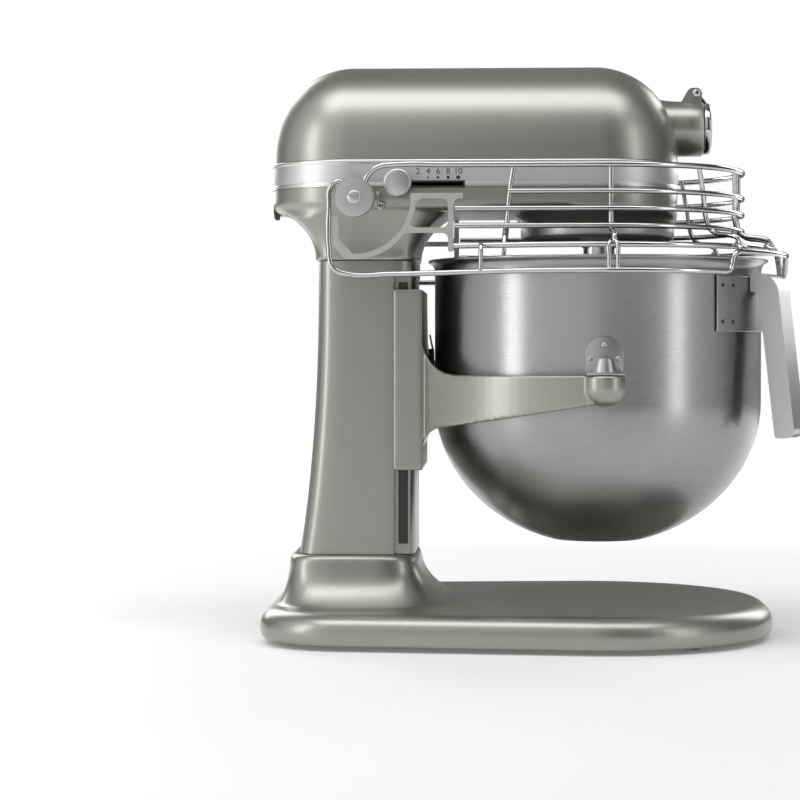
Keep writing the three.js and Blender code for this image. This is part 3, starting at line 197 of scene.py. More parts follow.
class Finish(Tree):
    """A material on one Principled shader, with helpers for what varies over its surface."""

    def __init__(self, name, colour, roughness, metallic=0.0, **constants):
        self.material = bpy.data.materials.new(name)
        self.material.use_nodes = True
        super().__init__(self.material.node_tree)
        self.shader = self.tree.nodes["Principled BSDF"]
        self.colour = tuple(colour)[:3]
        settings = {"Base Color": (*self.colour, 1), "Roughness": roughness, "Metallic": metallic,
                    **constants}
        for socket, value in settings.items():
            self.shader.inputs[socket].default_value = value
        self.material.diffuse_color = (*self.colour, 1)

    def place(self):
        return self.node("TexCoord", output="Object")

    def noise(self, scale, detail=3.0, stretch=(1, 1, 1)):
        """Noise over the surface; stretch multiplies the scale along each axis."""
        spread = self.node("Mapping", {}, {"Vector": self.place(), "Scale": stretch}, "Vector")
        return self.node("TexNoise", {}, {"Vector": spread, "Scale": scale, "Detail": detail}, "Fac")

    def tint(self, other, mask):
        """Mixes the base colour towards another where the mask is high."""
        mixed = self.node("Mix", {"data_type": "RGBA"},
                          {"Factor": mask, 6: (*self.colour, 1), 7: (*other, 1)}, 2)
        self.feed(self.shader.inputs["Base Color"], mixed)

    def rough(self, value):
        self.feed(self.shader.inputs["Roughness"], value)

    def bump(self, height, depth, strength=1.0):
        """Raises the surface by a height from 0 to 1, depth being its size in metres."""
        normal = self.node("Bump", {}, {"Height": height, "Distance": depth, "Strength": strength}, "Normal")
        self.feed(self.shader.inputs["Normal"], normal)


def shade(colour, factor):
    return tuple(min(1.0, channel * factor) for channel in colour)


def enamel(colour, roughness):
    """Satin metallic enamel: fine flakes, a soft orange peel and a thin clear coat."""
    made = Finish("satin_enamel", colour, roughness, 0.82, **{"Coat Weight": 0.22, "Coat Roughness": 0.22})
    flakes = made.noise(1900, 1.0)
    peel = made.noise(260, 2.0)
    cloud = made.noise(14, 2.0)
    made.tint(shade(colour, 1.22), flakes * 0.55 + cloud * 0.2)
    made.rough(roughness - 0.05 + flakes * 0.06 + cloud * 0.05)
    made.bump(peel * 0.7 + flakes * 0.3, 0.00003)
    return made.material


def brushed(name, colour, roughness, stretch):
    """Metal with a fine grain: the stretch is small along the brushing and large across it."""
    made = Finish(name, colour, roughness, 1.0)
    grain = made.noise(420, 2.0, stretch)
    wide = made.noise(60, 2.0, stretch)
    smudge = made.noise(22, 3.0)
    made.tint(shade(colour, 0.8), grain * 0.5 + wide * 0.3)
    made.rough(roughness - 0.06 + grain * 0.1 + smudge * 0.06)
    made.bump(grain, 0.000012)
    return made.material


def spun(name, colour, roughness, **constants):
    """Sheet metal brushed round the vertical axis, as a spun bowl is."""
    made = Finish(name, colour, roughness, 1.0, **constants)
    x, y, z = made.split(made.place())
    turn = made.maths("ARCTAN2", y, x)
    rings = made.node("CombineXYZ", {}, {"X": turn * 1.4, "Y": z * 700, "Z": 0.0})
    grain = made.node("TexNoise", {}, {"Vector": rings, "Scale": 2.4, "Detail": 4.0}, "Fac")
    smudge = made.noise(16, 3.0)
    made.tint(shade(colour, 0.82), grain * 0.7)
    made.rough(roughness - 0.06 + grain * 0.09 + smudge * 0.07)
    made.bump(grain, 0.000016)
    return made.material


def polished(name, colour, roughness):
    made = Finish(name, colour, roughness, 1.0)
    smudge = made.noise(45, 3.0)
    grain = made.noise(900, 1.0)
    made.tint(shade(colour, 0.9), smudge * 0.5)
    made.rough(roughness - 0.03 + smudge * 0.07)
    made.bump(grain, 0.000004)
    return made.material


def cast_metal(name, colour, roughness):
    made = Finish(name, colour, roughness, 0.9)
    grain = made.noise(1400, 2.0)
    cloud = made.noise(40, 3.0)
    made.tint(shade(colour, 0.84), cloud * 0.5 + grain * 0.25)
    made.rough(roughness - 0.05 + grain * 0.12)
    made.bump(grain, 0.00003)
    return made.material


def moulded(name, colour, roughness, grain_scale=1500):
    made = Finish(name, colour, roughness, 0.0)
    grain = made.noise(grain_scale, 2.0)
    wear = made.noise(60, 4.0)
    made.tint(shade(colour, 1.8), wear * 0.5)
    made.rough(roughness - 0.08 + grain * 0.16)
    made.bump(grain, 0.00004)
    return made.material


def windings():
    """Copper wire laid round an armature between dark laminations."""
    made = Finish("copper_windings", (0.5, 0.24, 0.12), 0.42, 0.85)
    turns = made.noise(500, 1.0, (1, 0.1, 0.1))
    made.tint((0.1, 0.08, 0.07), turns * turns)
    made.rough(0.3 + turns * 0.25)
    made.bump(turns, 0.0001)
    return made.material


FINISHES = {}


# ---- Shape tools ----
def mesh_piece(name, points, faces, sharp=38):
    mesh = bpy.data.meshes.new(name)
    mesh.from_pydata([Vector(point) * MM for point in points], [], faces)
    made = bmesh.new()
    made.from_mesh(mesh)
    bmesh.ops.remove_doubles(made, verts=made.verts, dist=1e-6)
    bmesh.ops.recalc_face_normals(made, faces=made.faces)
    made.to_mesh(mesh)
    made.free()
    piece = bpy.data.objects.new(name, mesh)
    bpy.context.scene.collection.objects.link(piece)
    smooth(piece, sharp)
    return piece


def smooth(piece, sharp=38):
    mesh = piece.data
    mesh.polygons.foreach_set("use_smooth", [True] * len(mesh.polygons))
    mesh.set_sharp_from_angle(angle=math.radians(sharp))


def skin(name, loops, closed=False, sharp=38):
    """A surface through loops with as many points each; an open stack gets its two ends closed."""
    count = len(loops[0])
    rows = len(loops)
    faces = []
    for row in range(rows if closed else rows - 1):
        here = row * count
        there = (row + 1) % rows * count
        for i in range(count):
            j = (i + 1) % count
            faces.append((here + i, here + j, there + j, there + i))
    if not closed:
        faces.append(tuple(reversed(range(count))))
        faces.append(tuple(range((rows - 1) * count, rows * count)))
    return mesh_piece(name, [point for loop in loops for point in loop], faces, sharp)


def along(axis, u, v, w):
    """The point at u, v across an axis and w along it."""
    return {"x": (w, u, v), "y": (u, w, v), "z": (u, v, w)}[axis]


def lathe(name, profile, axis="z", at=(0, 0, 0), steps=72, closed=False, sharp=38):
    """Turns a profile of (radius, distance) round an axis; a closed profile makes a ring."""
    loops = []
    for radius, distance in profile:
        around = (2 * math.pi * i / steps for i in range(steps))
        ring = (along(axis, radius * math.cos(a), radius * math.sin(a), distance) for a in around)
        loops.append([Vector(point) + Vector(at) for point in ring])
    return skin(name, loops, closed, sharp)


def rod(name, radius, start, end, *place, **options):
    """A lathed cylinder from one height on its axis to another."""
    return lathe(name, [(0, start), (radius, start), (radius, end), (0, end)], *place, **options)


def rounded(corners, steps=8):
    """A closed outline through corners (u, v, radius), each rounded by an arc of the same number of points."""
    outline = []
    for i, (u, v, radius) in enumerate(corners):
        here = Vector((u, v))
        before = (Vector(corners[i - 1][:2]) - here).normalized()
        after = (Vector(corners[(i + 1) % len(corners)][:2]) - here).normalized()
        half = before.angle(after) / 2
        middle = here + (before + after).normalized() * (radius / math.sin(half))
        start = here + before * (radius / math.tan(half)) - middle
        sweep = (math.pi - 2 * half) * (1 if before.cross(after) < 0 else -1)
        for k in range(steps + 1):
            turn = Matrix.Rotation(sweep * k / steps, 2)
            outline.append(middle + turn @ start)
    return outline


def oblong(left, bottom, right, top, corner, *steps):
    """A rectangle's outline with four equal rounded corners."""
    return rounded([(left, bottom, corner), (right, bottom, corner), (right, top, corner),
                    (left, top, corner)], *steps)


def prism(name, outline, start, end, axis="z", sharp=38):
    return skin(name, [[along(axis, u, v, w) for u, v in outline] for w in (start, end)], sharp=sharp)


def block(name, first, last):
    outline = [(first[0], first[1]), (last[0], first[1]), (last[0], last[1]), (first[0], last[1])]
    return prism(name, outline, first[2], last[2])


def superellipse(front, rear, half, power, z, count=96):
    middle = (front + rear) / 2
    loop = []
    for i in range(count):
        a = 2 * math.pi * i / count
        across = math.copysign(abs(math.cos(a)) ** (2 / power), math.cos(a))
        aside = math.copysign(abs(math.sin(a)) ** (2 / power), math.sin(a))
        loop.append((middle + (front - middle) * across, half * aside, z))
    return loop


def settle(piece):
    """Replaces the mesh by what its modifiers make of it."""
    depsgraph = bpy.context.evaluated_depsgraph_get()
    mesh = bpy.data.meshes.new_from_object(piece.evaluated_get(depsgraph))
    mesh.name = piece.name
    piece.modifiers.clear()
    piece.data = mesh
    return piece


def carve(piece, tools, operation="DIFFERENCE", sharp=38):
    """Cuts, joins or intersects a piece with tools, which are used up."""
    for tool in tools:
        modifier = piece.modifiers.new(tool.name, "BOOLEAN")
        modifier.operation = operation
        modifier.solver = "EXACT"
        modifier.object = tool
    bpy.context.view_layer.update()
    settle(piece)
    for tool in tools:
        bpy.data.objects.remove(tool)
    smooth(piece, sharp)
    return piece


def cast(name, pieces, voxel, rounds):
    """One casting out of overlapping pieces, its joins melted into fillets by rounds of smoothing."""
    piece = merged(name, pieces)
    remesh = piece.modifiers.new("even", "REMESH")
    remesh.mode = "VOXEL"
    remesh.voxel_size = voxel * MM
    relax = piece.modifiers.new("relax", "SMOOTH")
    relax.factor = 0.5
    relax.iterations = rounds
    bpy.context.view_layer.update()
    settle(piece)
    smooth(piece, 60)
    return piece


def soften(piece, width, segments=2, angle=35):
    """Rounds the sharp edges by a width in millimetres."""
    bevel = piece.modifiers.new("edges", "BEVEL")
    bevel.width = width * MM
    bevel.segments = segments
    bevel.limit_method = "ANGLE"
    bevel.angle_limit = math.radians(angle)
    return piece


def turned_about_z(piece, angle):
    piece.data.transform(Matrix.Rotation(angle, 4, "Z"))
    return piece


def merged(name, pieces):
    """One piece out of several, which are used up."""
    made = bmesh.new()
    depsgraph = bpy.context.evaluated_depsgraph_get()
    for piece in pieces:
        mesh = bpy.data.meshes.new_from_object(piece.evaluated_get(depsgraph))
        made.from_mesh(mesh)
        bpy.data.meshes.remove(mesh)
    mesh = bpy.data.meshes.new(name)
    made.to_mesh(mesh)
    made.free()
    for piece in pieces:
        bpy.data.objects.remove(piece)
    joined = bpy.data.objects.new(name, mesh)
    bpy.context.scene.collection.objects.link(joined)
    return joined


def wires(name, routes):
    """Round wires, each (points, radius), as one mesh of smooth tubes."""
    curve = bpy.data.curves.new(name, "CURVE")
    curve.dimensions = "3D"
    curve.bevel_depth = MM
    curve.bevel_resolution = 3
    curve.resolution_u = 5
    curve.use_fill_caps = True
    for points, radius in routes:
        spline = curve.splines.new("BEZIER")
        spline.bezier_points.add(len(points) - 1)
        for bezier, point in zip(spline.bezier_points, points):
            bezier.co = Vector(point) * MM
            bezier.radius = radius
            bezier.handle_left_type = "AUTO"
            bezier.handle_right_type = "AUTO"
    holder = bpy.data.objects.new(name + "_path", curve)
    bpy.context.scene.collection.objects.link(holder)
    bpy.context.view_layer.update()
    mesh = bpy.data.meshes.new_from_object(holder.evaluated_get(bpy.context.evaluated_depsgraph_get()))
    mesh.name = name
    bpy.data.objects.remove(holder)
    piece = bpy.data.objects.new(name, mesh)
    bpy.context.scene.collection.objects.link(piece)
    smooth(piece, 50)
    return piece


def finish_piece(piece, body, slot, finish=None, replaces=()):
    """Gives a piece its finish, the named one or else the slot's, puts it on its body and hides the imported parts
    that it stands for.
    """
    piece.data.materials.clear()
    piece.data.materials.append(FINISHES[finish or slot])
    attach(piece, body)
    if replaces:
        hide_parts(*replaces)
    return piece


# ---- Base ----
def base_outline(inset):
    front, rear = high("base").x, low("base").x
    taper = math.atan2(BASE_WIDE - BASE_NARROW, front - rear)
    corner = (BASE_WIDE - BASE_FRONT_FLAT) * math.tan((RIGHT - taper) / 2)
    return rounded([
        (front - inset, -BASE_WIDE + inset, corner - inset),
        (front - inset, BASE_WIDE - inset, corner - inset),
        (rear + inset, BASE_NARROW - inset, BASE_REAR_CORNER - inset),
        (rear + inset, -BASE_NARROW + inset, BASE_REAR_CORNER - inset),
    ], 24)


def make_base(dish_depth):
    edge_width, edge_middle, tuck, bottom = 15.0, 12.5, 4, 3.0
    loops = []
    for i in range(6):
        a = RIGHT * i / 5
        z = edge_middle - (edge_middle - bottom) * math.cos(a)
        loops.append([(x, y, z) for x, y in base_outline(tuck * (1 - math.sin(a)))])
    for i in range(1, 15):
        a = RIGHT * i / 14
        z = edge_middle + (BASE_TOP - edge_middle) * math.sin(a)
        loops.append([(x, y, z) for x, y in base_outline(edge_width * (1 - math.cos(a)))])
    slab = skin("slab", loops)
    bell = []
    bell_bottom = 16
    for i in range(17):
        t = i / 16
        z = bell_bottom + (PEDESTAL_TOP - bell_bottom) * t
        flare = (1 - t) ** 2.4
        pinch = 3 * max(0.0, (t - 0.9) / 0.1) ** 2
        front, rear, half = (size + reach * flare for size, reach in PEDESTAL)
        bell.append(superellipse(front - pinch, rear + pinch, half - pinch, 5, z))
    dish = [(0, BASE_TOP - dish_depth)]
    for i in range(1, 25):
        share = i / 24
        dish.append((DISH_RADIUS * share, BASE_TOP - dish_depth * (1 - share * share) ** 1.3 + 0.02))
    dish += [(DISH_RADIUS, BASE_TOP + 20), (0, BASE_TOP + 20)]
    hollow = prism("hollow", base_outline(15), -5, 9.5)
    carve(slab, [lathe("dish", dish, at=(DISH_X, 0, 0), steps=96)])
    slab = cast("base_casting", [slab, skin("bell", bell)], 1.7, 9)
    carve(slab, [hollow, block("well", (-192, -38, 4), (-152, 38, PEDESTAL_TOP + 5))])
    finish_piece(slab, "stand", "paint", replaces=["base"])


# ---- Column ----
def make_column():
    top, bottom = high("column").z, low("column").z
    loops = []
    for i in range(25):
        t = i / 24
        rear = low("column").x + 14 * (1 - (1 - t) ** 2.5)
        loops.append(superellipse(COLUMN_FRONT + 1, rear, high("column").y, 6, bottom + (top - bottom) * t,
                                  120))
    column = skin("column_casting", loops, sharp=50)
    guide_rear = COLUMN_FRONT - GUIDE_DEPTH
    over = COLUMN_FRONT + 30
    tools = [
        block("front", (COLUMN_FRONT, -60, bottom - 5), (over, 60, GUIDE_TOP)),
        block("hollow", (-196, -42, bottom - 9), (-150, 42, top + 5)),
        block("lug_way", (-155, -10, 178), (over, 10, 242)),
        rod("shaft_way", 7.6, 37, 70, "y", LEVER_PIVOT, 24),
    ]
    for name, side in SIDES:
        near, far = sorted((side * GUIDE_HALF, side * 64))
        tools.append(block("groove_" + name, (guide_rear, near, bottom - 5), (over, far, GUIDE_TOP)))
        first = low("guide_rail_" + name) - Vector((0.3, 0.3, 0.3))
        last = high("guide_rail_" + name) + Vector((0.3, 0.3, 0.3))
        tools.append(block("rail_seat_" + name, first, last))
    carve(column, tools, sharp=50)
    soften(column, 0.8)
    finish_piece(column, "stand", "paint", replaces=["column"])


# ---- Head ----
def head_outline(inset, steps=20):
    corner = max(HEAD_CORNER - inset, 3.0)
    half = HEAD_HALF - inset
    rear, front = HEAD_REAR + inset, HEAD_FRONT - inset
    return oblong(rear, -half, front, half, corner, steps)


def head_loop(inset, z):
    return [(x, y, z) for x, y in head_outline(inset)]


def dome(name, inset, bottom, power, deep):
    """The head's rounded top; its crown closes in from the outline to a ridge."""
    ridge = HEAD_HALF - inset - 3
    spring = HEAD_TOP - DOME_HEIGHT
    loops = [head_loop(inset, bottom), head_loop(inset, spring)]
    for i in range(1, 27):
        share = 1 - max(0.0, math.cos(RIGHT * i / 26))
        rise = (1 - (1 - share) ** power) ** (1 / power)
        loops.append(head_loop(inset + ridge * share, spring + (DOME_HEIGHT - deep) * rise))
    return skin(name, loops, sharp=60)


def band_seat(start, end):
    """The ring that the trim band takes out of the head, from one height to another."""
    corners = ((-6, start), (-6, end), (1.6, end), (1.6, start))
    return skin("ring", [head_loop(inset, z) for inset, z in corners], closed=True)


def make_motor_housing(crown_power):
    split = BAND_LOW + 9.3
    case = dome("motor_housing_shell", 0, split, crown_power, 0)
    at = (0, 0, HUB_Z)
    neck = [(0, 5)]
    for i in range(17):
        share = i / 16
        neck.append((HUB_RADIUS + 15 * (1 - share) ** 2.6, 18 + 46 * share))
    neck += [(HUB_RADIUS, HUB_FACE - 1.2), (HUB_RADIUS - 1, HUB_FACE), (0, HUB_FACE)]
    lugs = []
    for side in (-1, 1):
        corners = ((-15, -14, 2), (4, -14, 2), (4, 4, 3.6), (-5, 4, 3.6))
        ear = rounded([(HUB_HINGE.x + x, HUB_HINGE.z + z, radius) for x, z, radius in corners], 6)
        near, far = sorted((side * 3.5, side * 7))
        lugs.append(prism("ear", ear, near, far, "y"))
    carve(case, [lathe("hub_neck", neck, "x", at, 96), *lugs], "UNION", 50)
    tools = [
        dome("inside", 4, split - 5, crown_power, 4),
        rod("bore", 15.3, -5, 90, "x", at, 48),
        rod("pin_way", 2.1, -20, 20, "y", HUB_HINGE, 24),
        rod("screw_way", 3.3, 5, 40, "y", (66, 0, HUB_Z), 24),
    ]
    carve(case, tools[:1], sharp=50)
    carve(case, tools[1:], sharp=50)
    carve(case, [band_seat(split - 4, BAND_HIGH + 0.3)], sharp=50)
    finish_piece(case, "stand", "paint", replaces=["motor_housing"])


def make_gear_housing():
    split = BAND_LOW + 9
    edge = 8
    loops = []
    for i in range(9):
        a = RIGHT * i / 8
        loops.append(head_loop(edge * (1 - math.sin(a)), CASE_BOTTOM + edge * (1 - math.cos(a))))
    loops.append(head_loop(0, split))
    tray = skin("tray", loops, sharp=60)
    column_top = high("column").z + 0.3
    neck = []
    for i in range(17):
        t = i / 16
        z = column_top + (CASE_BOTTOM + 5 - column_top) * t
        neck.append(superellipse(-131 + 32 * t ** 2.4, -206 - 31 * t ** 2.4, 57.5 + 12 * t ** 2.4, 6, z))
    inside = prism("inside", head_outline(2), column_top - 5, split)
    neck = carve(skin("neck", neck, sharp=60), [inside], "INTERSECT")
    flare = [(0, NOSE_BOTTOM), (57.5, NOSE_BOTTOM)]
    for i in range(1, 13):
        share = i / 12
        flare.append((57.5 + 16 * share ** 2.4, NOSE_BOTTOM + 12 * share))
    flare += [(73.5, 322), (0, 322)]
    nose = lathe("nose", flare, steps=96)
    carve(nose, [prism("inside", head_outline(0.4), 290, split)], "INTERSECT")
    tray = cast("gear_housing_casting", [tray, neck, nose], 1.5, 7)
    inlet = centre("mains_inlet")
    tools = [
        prism("inside", head_outline(6), 315, split + 5),
        rod("cavity", 53, 290, 314, steps=64),
        block("way", (-196, -42, column_top - 5), (-142, 42, 316)),
        rod("shaft_way", 8.6, 310, 320, steps=32),
        block("lip", (HEAD_REAR - 20, -100, split), (HEAD_FRONT + 20, 100, split + 20)),
        band_seat(BAND_LOW - 0.3, split + 4),
        block("slot", (-150, -80, 325), (-97, -60, 330)),
        rod("inlet_way", 6.3, -245, -228, "x", (0, inlet.y, inlet.z), 32),
    ]
    for tool in tools:
        carve(tray, [tool], sharp=50)
    finish_piece(tray, "stand", "paint", replaces=["gear_housing"])


# ---- Band and speed scale ----
def make_band():
    rows = [(-0.7, BAND_LOW), (-0.7, BAND_LOW + 2.4), (-0.35, BAND_LOW + 2.9), (-0.35, BAND_HIGH - 2.9),
            (-0.7, BAND_HIGH - 2.4), (-0.7, BAND_HIGH - 0.6), (-0.2, BAND_HIGH), (1.3, BAND_HIGH), (1.3, BAND_LOW)]
    band = skin("trim_band_ring", [head_loop(inset, z) for inset, z in rows], closed=True)
    first = low("speed_slot_liner") - Vector((0.3, 10, 0.3))
    last = high("speed_slot_liner") + Vector((0.3, 0, 0.3))
    carve(band, [block("notch", first, last)])
    finish_piece(band, "stand", "aluminium", "band", ["trim_band"])
    rows = [(-0.38, BAND_LOW + 3.1), (-0.42, BAND_LOW + 3.3), (-0.42, BAND_HIGH - 3.3),
            (-0.38, BAND_HIGH - 3.1), (0.2, BAND_HIGH - 3.1), (0.2, BAND_LOW + 3.1)]
    field = skin("trim_band_field", [head_loop(inset, z) for inset, z in rows], closed=True)
    carve(field, [block("notch", first - Vector((1.5, 0, 0)), last + Vector((1.5, 0, 0.6)))])
    finish_piece(field, "stand", "aluminium", "field")


def make_scale(steps):
    """Numbers and growing dots over the slot of the speed lever."""
    face = -HEAD_HALF - 0.42
    start, end = SCALE
    for i, number in enumerate(steps):
        x = start + (end - start) * i / (len(steps) - 1)
        text = bpy.data.curves.new("speed_number", "FONT")
        text.body = str(number)
        text.size = 6.2 * MM
        text.extrude = 0.12 * MM
        text.align_x = "CENTER"
        text.resolution_u = 6
        holder = bpy.data.objects.new("speed_number_curve", text)
        bpy.context.scene.collection.objects.link(holder)
        bpy.context.view_layer.update()
        mesh = bpy.data.meshes.new_from_object(holder.evaluated_get(bpy.context.evaluated_depsgraph_get()))
        bpy.data.objects.remove(holder)
        mesh.transform(Matrix.Translation(Vector((x, face, NUMBER_Z)) * MM) @ Matrix.Rotation(RIGHT, 4, "X"))
        piece = bpy.data.objects.new(f"speed_number_{number}", mesh)
        bpy.context.scene.collection.objects.link(piece)
        finish_piece(piece, "stand", "black_plastic", "ink")
        radius = 0.45 + 0.24 * i
        dot = rod(f"speed_dot_{number}", radius, face - 0.12, face + 0.1, "y", (x, 0, DOT_Z), 20)
        finish_piece(dot, "stand", "black_plastic", "ink")


# ---- Speed knob and hub ----
def make_knob():
    front, back = low("speed_knob").y, high("speed_knob").y
    profile = [(0, front), (8.4, front), (9.4, front + 0.4), (9.9, front + 1.4), (9.9, back - 0.6),
               (9.3, back), (0, back)]
    knob = lathe("speed_knob_disc", profile, "y", (KNOB.x, 0, KNOB.z), 96, sharp=60)
    finish_piece(knob, "speed_control", "aluminium", "satin", ["speed_knob"])


def make_hub_cover():
    back, front = HUB_FACE + 0.6, HUB_FACE + 6
    rim = 18.8
    profile = [(0, back), (rim - 0.4, back), (rim, back + 0.5), (rim, back + 3.6), (rim - 0.8, back + 4.6),
               (rim - 2.2, front - 0.4), (rim - 4, front), (rim - 6, front - 0.5), (0, front + 0.4)]
    disc = lathe("hub_cover_plate", profile, "x", (0, 0, HUB_Z), 96, sharp=50)
    hook = []
    for i in range(11):
        a = math.pi * (1.05 - 1.15 * i / 10)
        hook.append((HUB_HINGE.x + 4.8 * math.cos(a), HUB_HINGE.z + 4.8 * math.sin(a)))
    outer = hook + [(83.3, 388), (83.3, 380), (77.8, 380), (77.8, 389)]
    outer += [(HUB_HINGE.x + 1.5, HUB_HINGE.z - 4.6), (HUB_HINGE.x - 3, HUB_HINGE.z - 3.8)]
    arm = soften(prism("arm", outer, -3, 3, "y"), 0.9, 3)
    bpy.context.view_layer.update()
    cover = merged("hub_cover_plate", [disc, arm])
    smooth(cover, 50)
    finish_piece(cover, "hub_door", "chrome", replaces=["hub_cover"])
    pin_end = ((0, 7), (3.1, 7), (3.1, 8.2), (2.2, 9), (0, 9))
    ends = []
    for side in (-1, 1):
        ends.append(lathe("pin_end", [(radius, side * y) for radius, y in pin_end], "y", HUB_HINGE, 32))
    pin = merged("hub_cover_pin_heads", ends)
    smooth(pin, 50)
    finish_piece(pin, "stand", "chrome")


# ---- Planetary and beater ----
def make_planetary():
    bottom, top = low("planetary_carrier").z + 4, high("planetary_carrier").z
    under = ((56.5, 3), (55.6, 0.9), (53.6, 0), (50.5, 0.3), (48.6, 1.8), (45.5, 4.6), (42, 5.4), (0, 5.4))
    profile = [(0, top), (54.5, top), (56.5, top - 1), *((radius, bottom + up) for radius, up in under)]
    disc = lathe("planetary_disc", profile, steps=120, sharp=50)
    boss = ((0, -4), (12, -4), (13, -3), (13, 2), (14.5, 4.6), (17, 6), (0, 6))
    boss = [(radius, bottom + up) for radius, up in boss]
    carve(disc, [lathe("boss", boss, at=(0, AGITATOR_Y, 0), steps=64)], "UNION", 50)
    carve(disc, [rod("way", 6.95, bottom - 9, top + 5, at=(0, AGITATOR_Y, 0), steps=32),
                 rod("socket", 8.3, bottom + 2, top + 5, steps=32)], sharp=50)
    finish_piece(disc, "planetary", "aluminium", "satin", ["planetary_carrier"])


def make_beater():
    top = high("flat_beater").z
    around = [*BEATER_HALF, *((-x, z) for x, z in reversed(BEATER_HALF))]
    outline = []
    for i in range(len(around)):
        a, b, c, d = (Vector(around[(i + k) % len(around)]) for k in (-1, 0, 1, 2))
        for k in range(8):
            t = k / 8
            curve = (2 * a - 5 * b + 4 * c - d) * t * t + (3 * b - a - 3 * c + d) * t ** 3
            outline.append(0.5 * ((2 * b) + (c - a) * t + curve))
    frame_piece = prism("frame", outline, AGITATOR_Y - 4.5, AGITATOR_Y + 4.5, "y")
    tools = []
    for side in (1, -1):
        window = rounded([(side * x, z, radius) for x, z, radius in BEATER_WINDOW])
        tools.append(prism("window", window, AGITATOR_Y - 9, AGITATOR_Y + 9, "y"))
    carve(frame_piece, tools)
    ribs = [prism("rib", [(0, 140), (side * 60, 172), (side * 57, 180), (0, 150)], AGITATOR_Y - 3.5,
                  AGITATOR_Y + 3.5, "y") for side in (1, -1)]
    hub = [(0, 236), (7, 237), (9.5, 241), (12.4, 250), (12.4, top - 1), (11.6, top), (0, top)]
    beater = cast("flat_beater_casting", [frame_piece, *ribs,
                                          lathe("hub", hub, at=(0, AGITATOR_Y, 0), steps=48)], 0.9, 5)
    carve(beater, [rod("bore", 6.65, 251.7, top + 5, at=(0, AGITATOR_Y, 0), steps=32)], sharp=50)
    finish_piece(beater, "agitator", "aluminium", "burnished", ["flat_beater"])


# ---- Bowl ----
def make_bowl():
    radius = -low("bowl").y - 5
    wall = 1.5
    outer = []
    start = math.asin(BOWL_FOOT / radius)
    for i in range(33):
        a = start + (RIGHT - start) * i / 32
        outer.append((radius * math.sin(a), BOWL_KNUCKLE - BOWL_DEPTH * math.cos(a)))
    flat = outer[0][1]
    inner = []
    for r, z in outer:
        inner.append((r - wall * (r / radius), z + wall * max(0.0, (BOWL_KNUCKLE - z) / BOWL_DEPTH)))
    roll = ((0, -8), (0.5, -5), (1.8, -3), (3.6, -1.9), (4.7, -1.2), (5, -0.3),
            (4.6, 0.4), (3.8, 0.5), (2.6, -0.1), (0.4, -1.6), (-1, -4), (-wall, -8))
    lip = [(radius + out, BOWL_RIM + up) for out, up in roll]
    profile = [(0, flat), *outer, *lip, *reversed(inner), (0, flat + wall)]
    bowl = lathe("bowl_shell", profile, steps=160, sharp=60)
    finish_piece(bowl, "bowl", "stainless", "spun", ["bowl"])


def rivet(name, at, outward, radius=2.0, proud=0.9):
    """A domed rivet head that stands out along a direction."""
    profile = [(0, -0.6), (radius, -0.6), (radius, 0.1), (radius * 0.8, proud * 0.7), (radius * 0.4, proud),
               (0, proud)]
    head = lathe(name, profile, steps=20, sharp=60)
    turn = Vector(outward).to_track_quat("Z", "Y").to_matrix().to_4x4()
    head.data.transform(Matrix.Translation(Vector(at) * MM) @ turn)
    return head


def make_handle():
    wall = PLATE_INSIDE
    top, bottom = high("bowl_handle").z, low("bowl_handle").z
    width = 12.5
    grip = rounded([(wall + 1.8, top - 13, 1), (128.5, top - 13, 6), (141, bottom, 2.5), (156, bottom, 7),
                    (142, top, 15), (wall + 1.8, top, 1)], 10)
    core = rounded([(wall - 8, bottom - 10, 1), (155.2, bottom - 10, 1), (140.4, top - 1.6, 13.4),
                    (wall - 8, top - 1.6, 1)], 10)
    strap = prism("bowl_handle_strap", grip, -width, width, "y")
    carve(strap, [prism("core", core, 1.6 - width, width - 1.6, "y")])
    soften(strap, 0.6, 2)
    turned_about_z(strap, HANDLE_TURN)
    finish_piece(strap, "bowl", "stainless", "brushed", ["bowl_handle"])

    arc = math.radians(24)
    low_z, high_z = 222.5, top - 2
    count = 25
    turns = [arc * (2 * k / (count - 1) - 1) for k in range(count)]
    points = []
    for radius, z in ((wall, low_z), (wall + 1.5, low_z), (wall + 1.5, high_z), (wall, high_z)):
        points += [(radius * math.cos(a), radius * math.sin(a), z) for a in turns]
    faces = []
    for row in range(4):
        here, there = row * count, (row + 1) % 4 * count
        faces += [(here + i, here + i + 1, there + i + 1, there + i) for i in range(count - 1)]
    faces += [(0, count, 2 * count, 3 * count), (count - 1, 4 * count - 1, 3 * count - 1, 2 * count - 1)]
    plate = mesh_piece("handle_plate_sheet", points, faces)
    soften(plate, 0.4, 2)
    turned_about_z(plate, HANDLE_TURN)
    finish_piece(plate, "bowl", "stainless", "brushed", ["handle_plate"])
    heads = []
    for a in (-0.375, -0.28, 0.28, 0.375):
        for z in (low_z + 7, high_z - 7):
            out = Vector((math.cos(HANDLE_TURN + a), math.sin(HANDLE_TURN + a), 0))
            heads.append(rivet("rivet", out * (wall + 1.5) + Vector((0, 0, z)), out, 1.5, 0.6))
    finish_piece(merged("handle_rivets", heads), "bowl", "steel", "dark_steel")


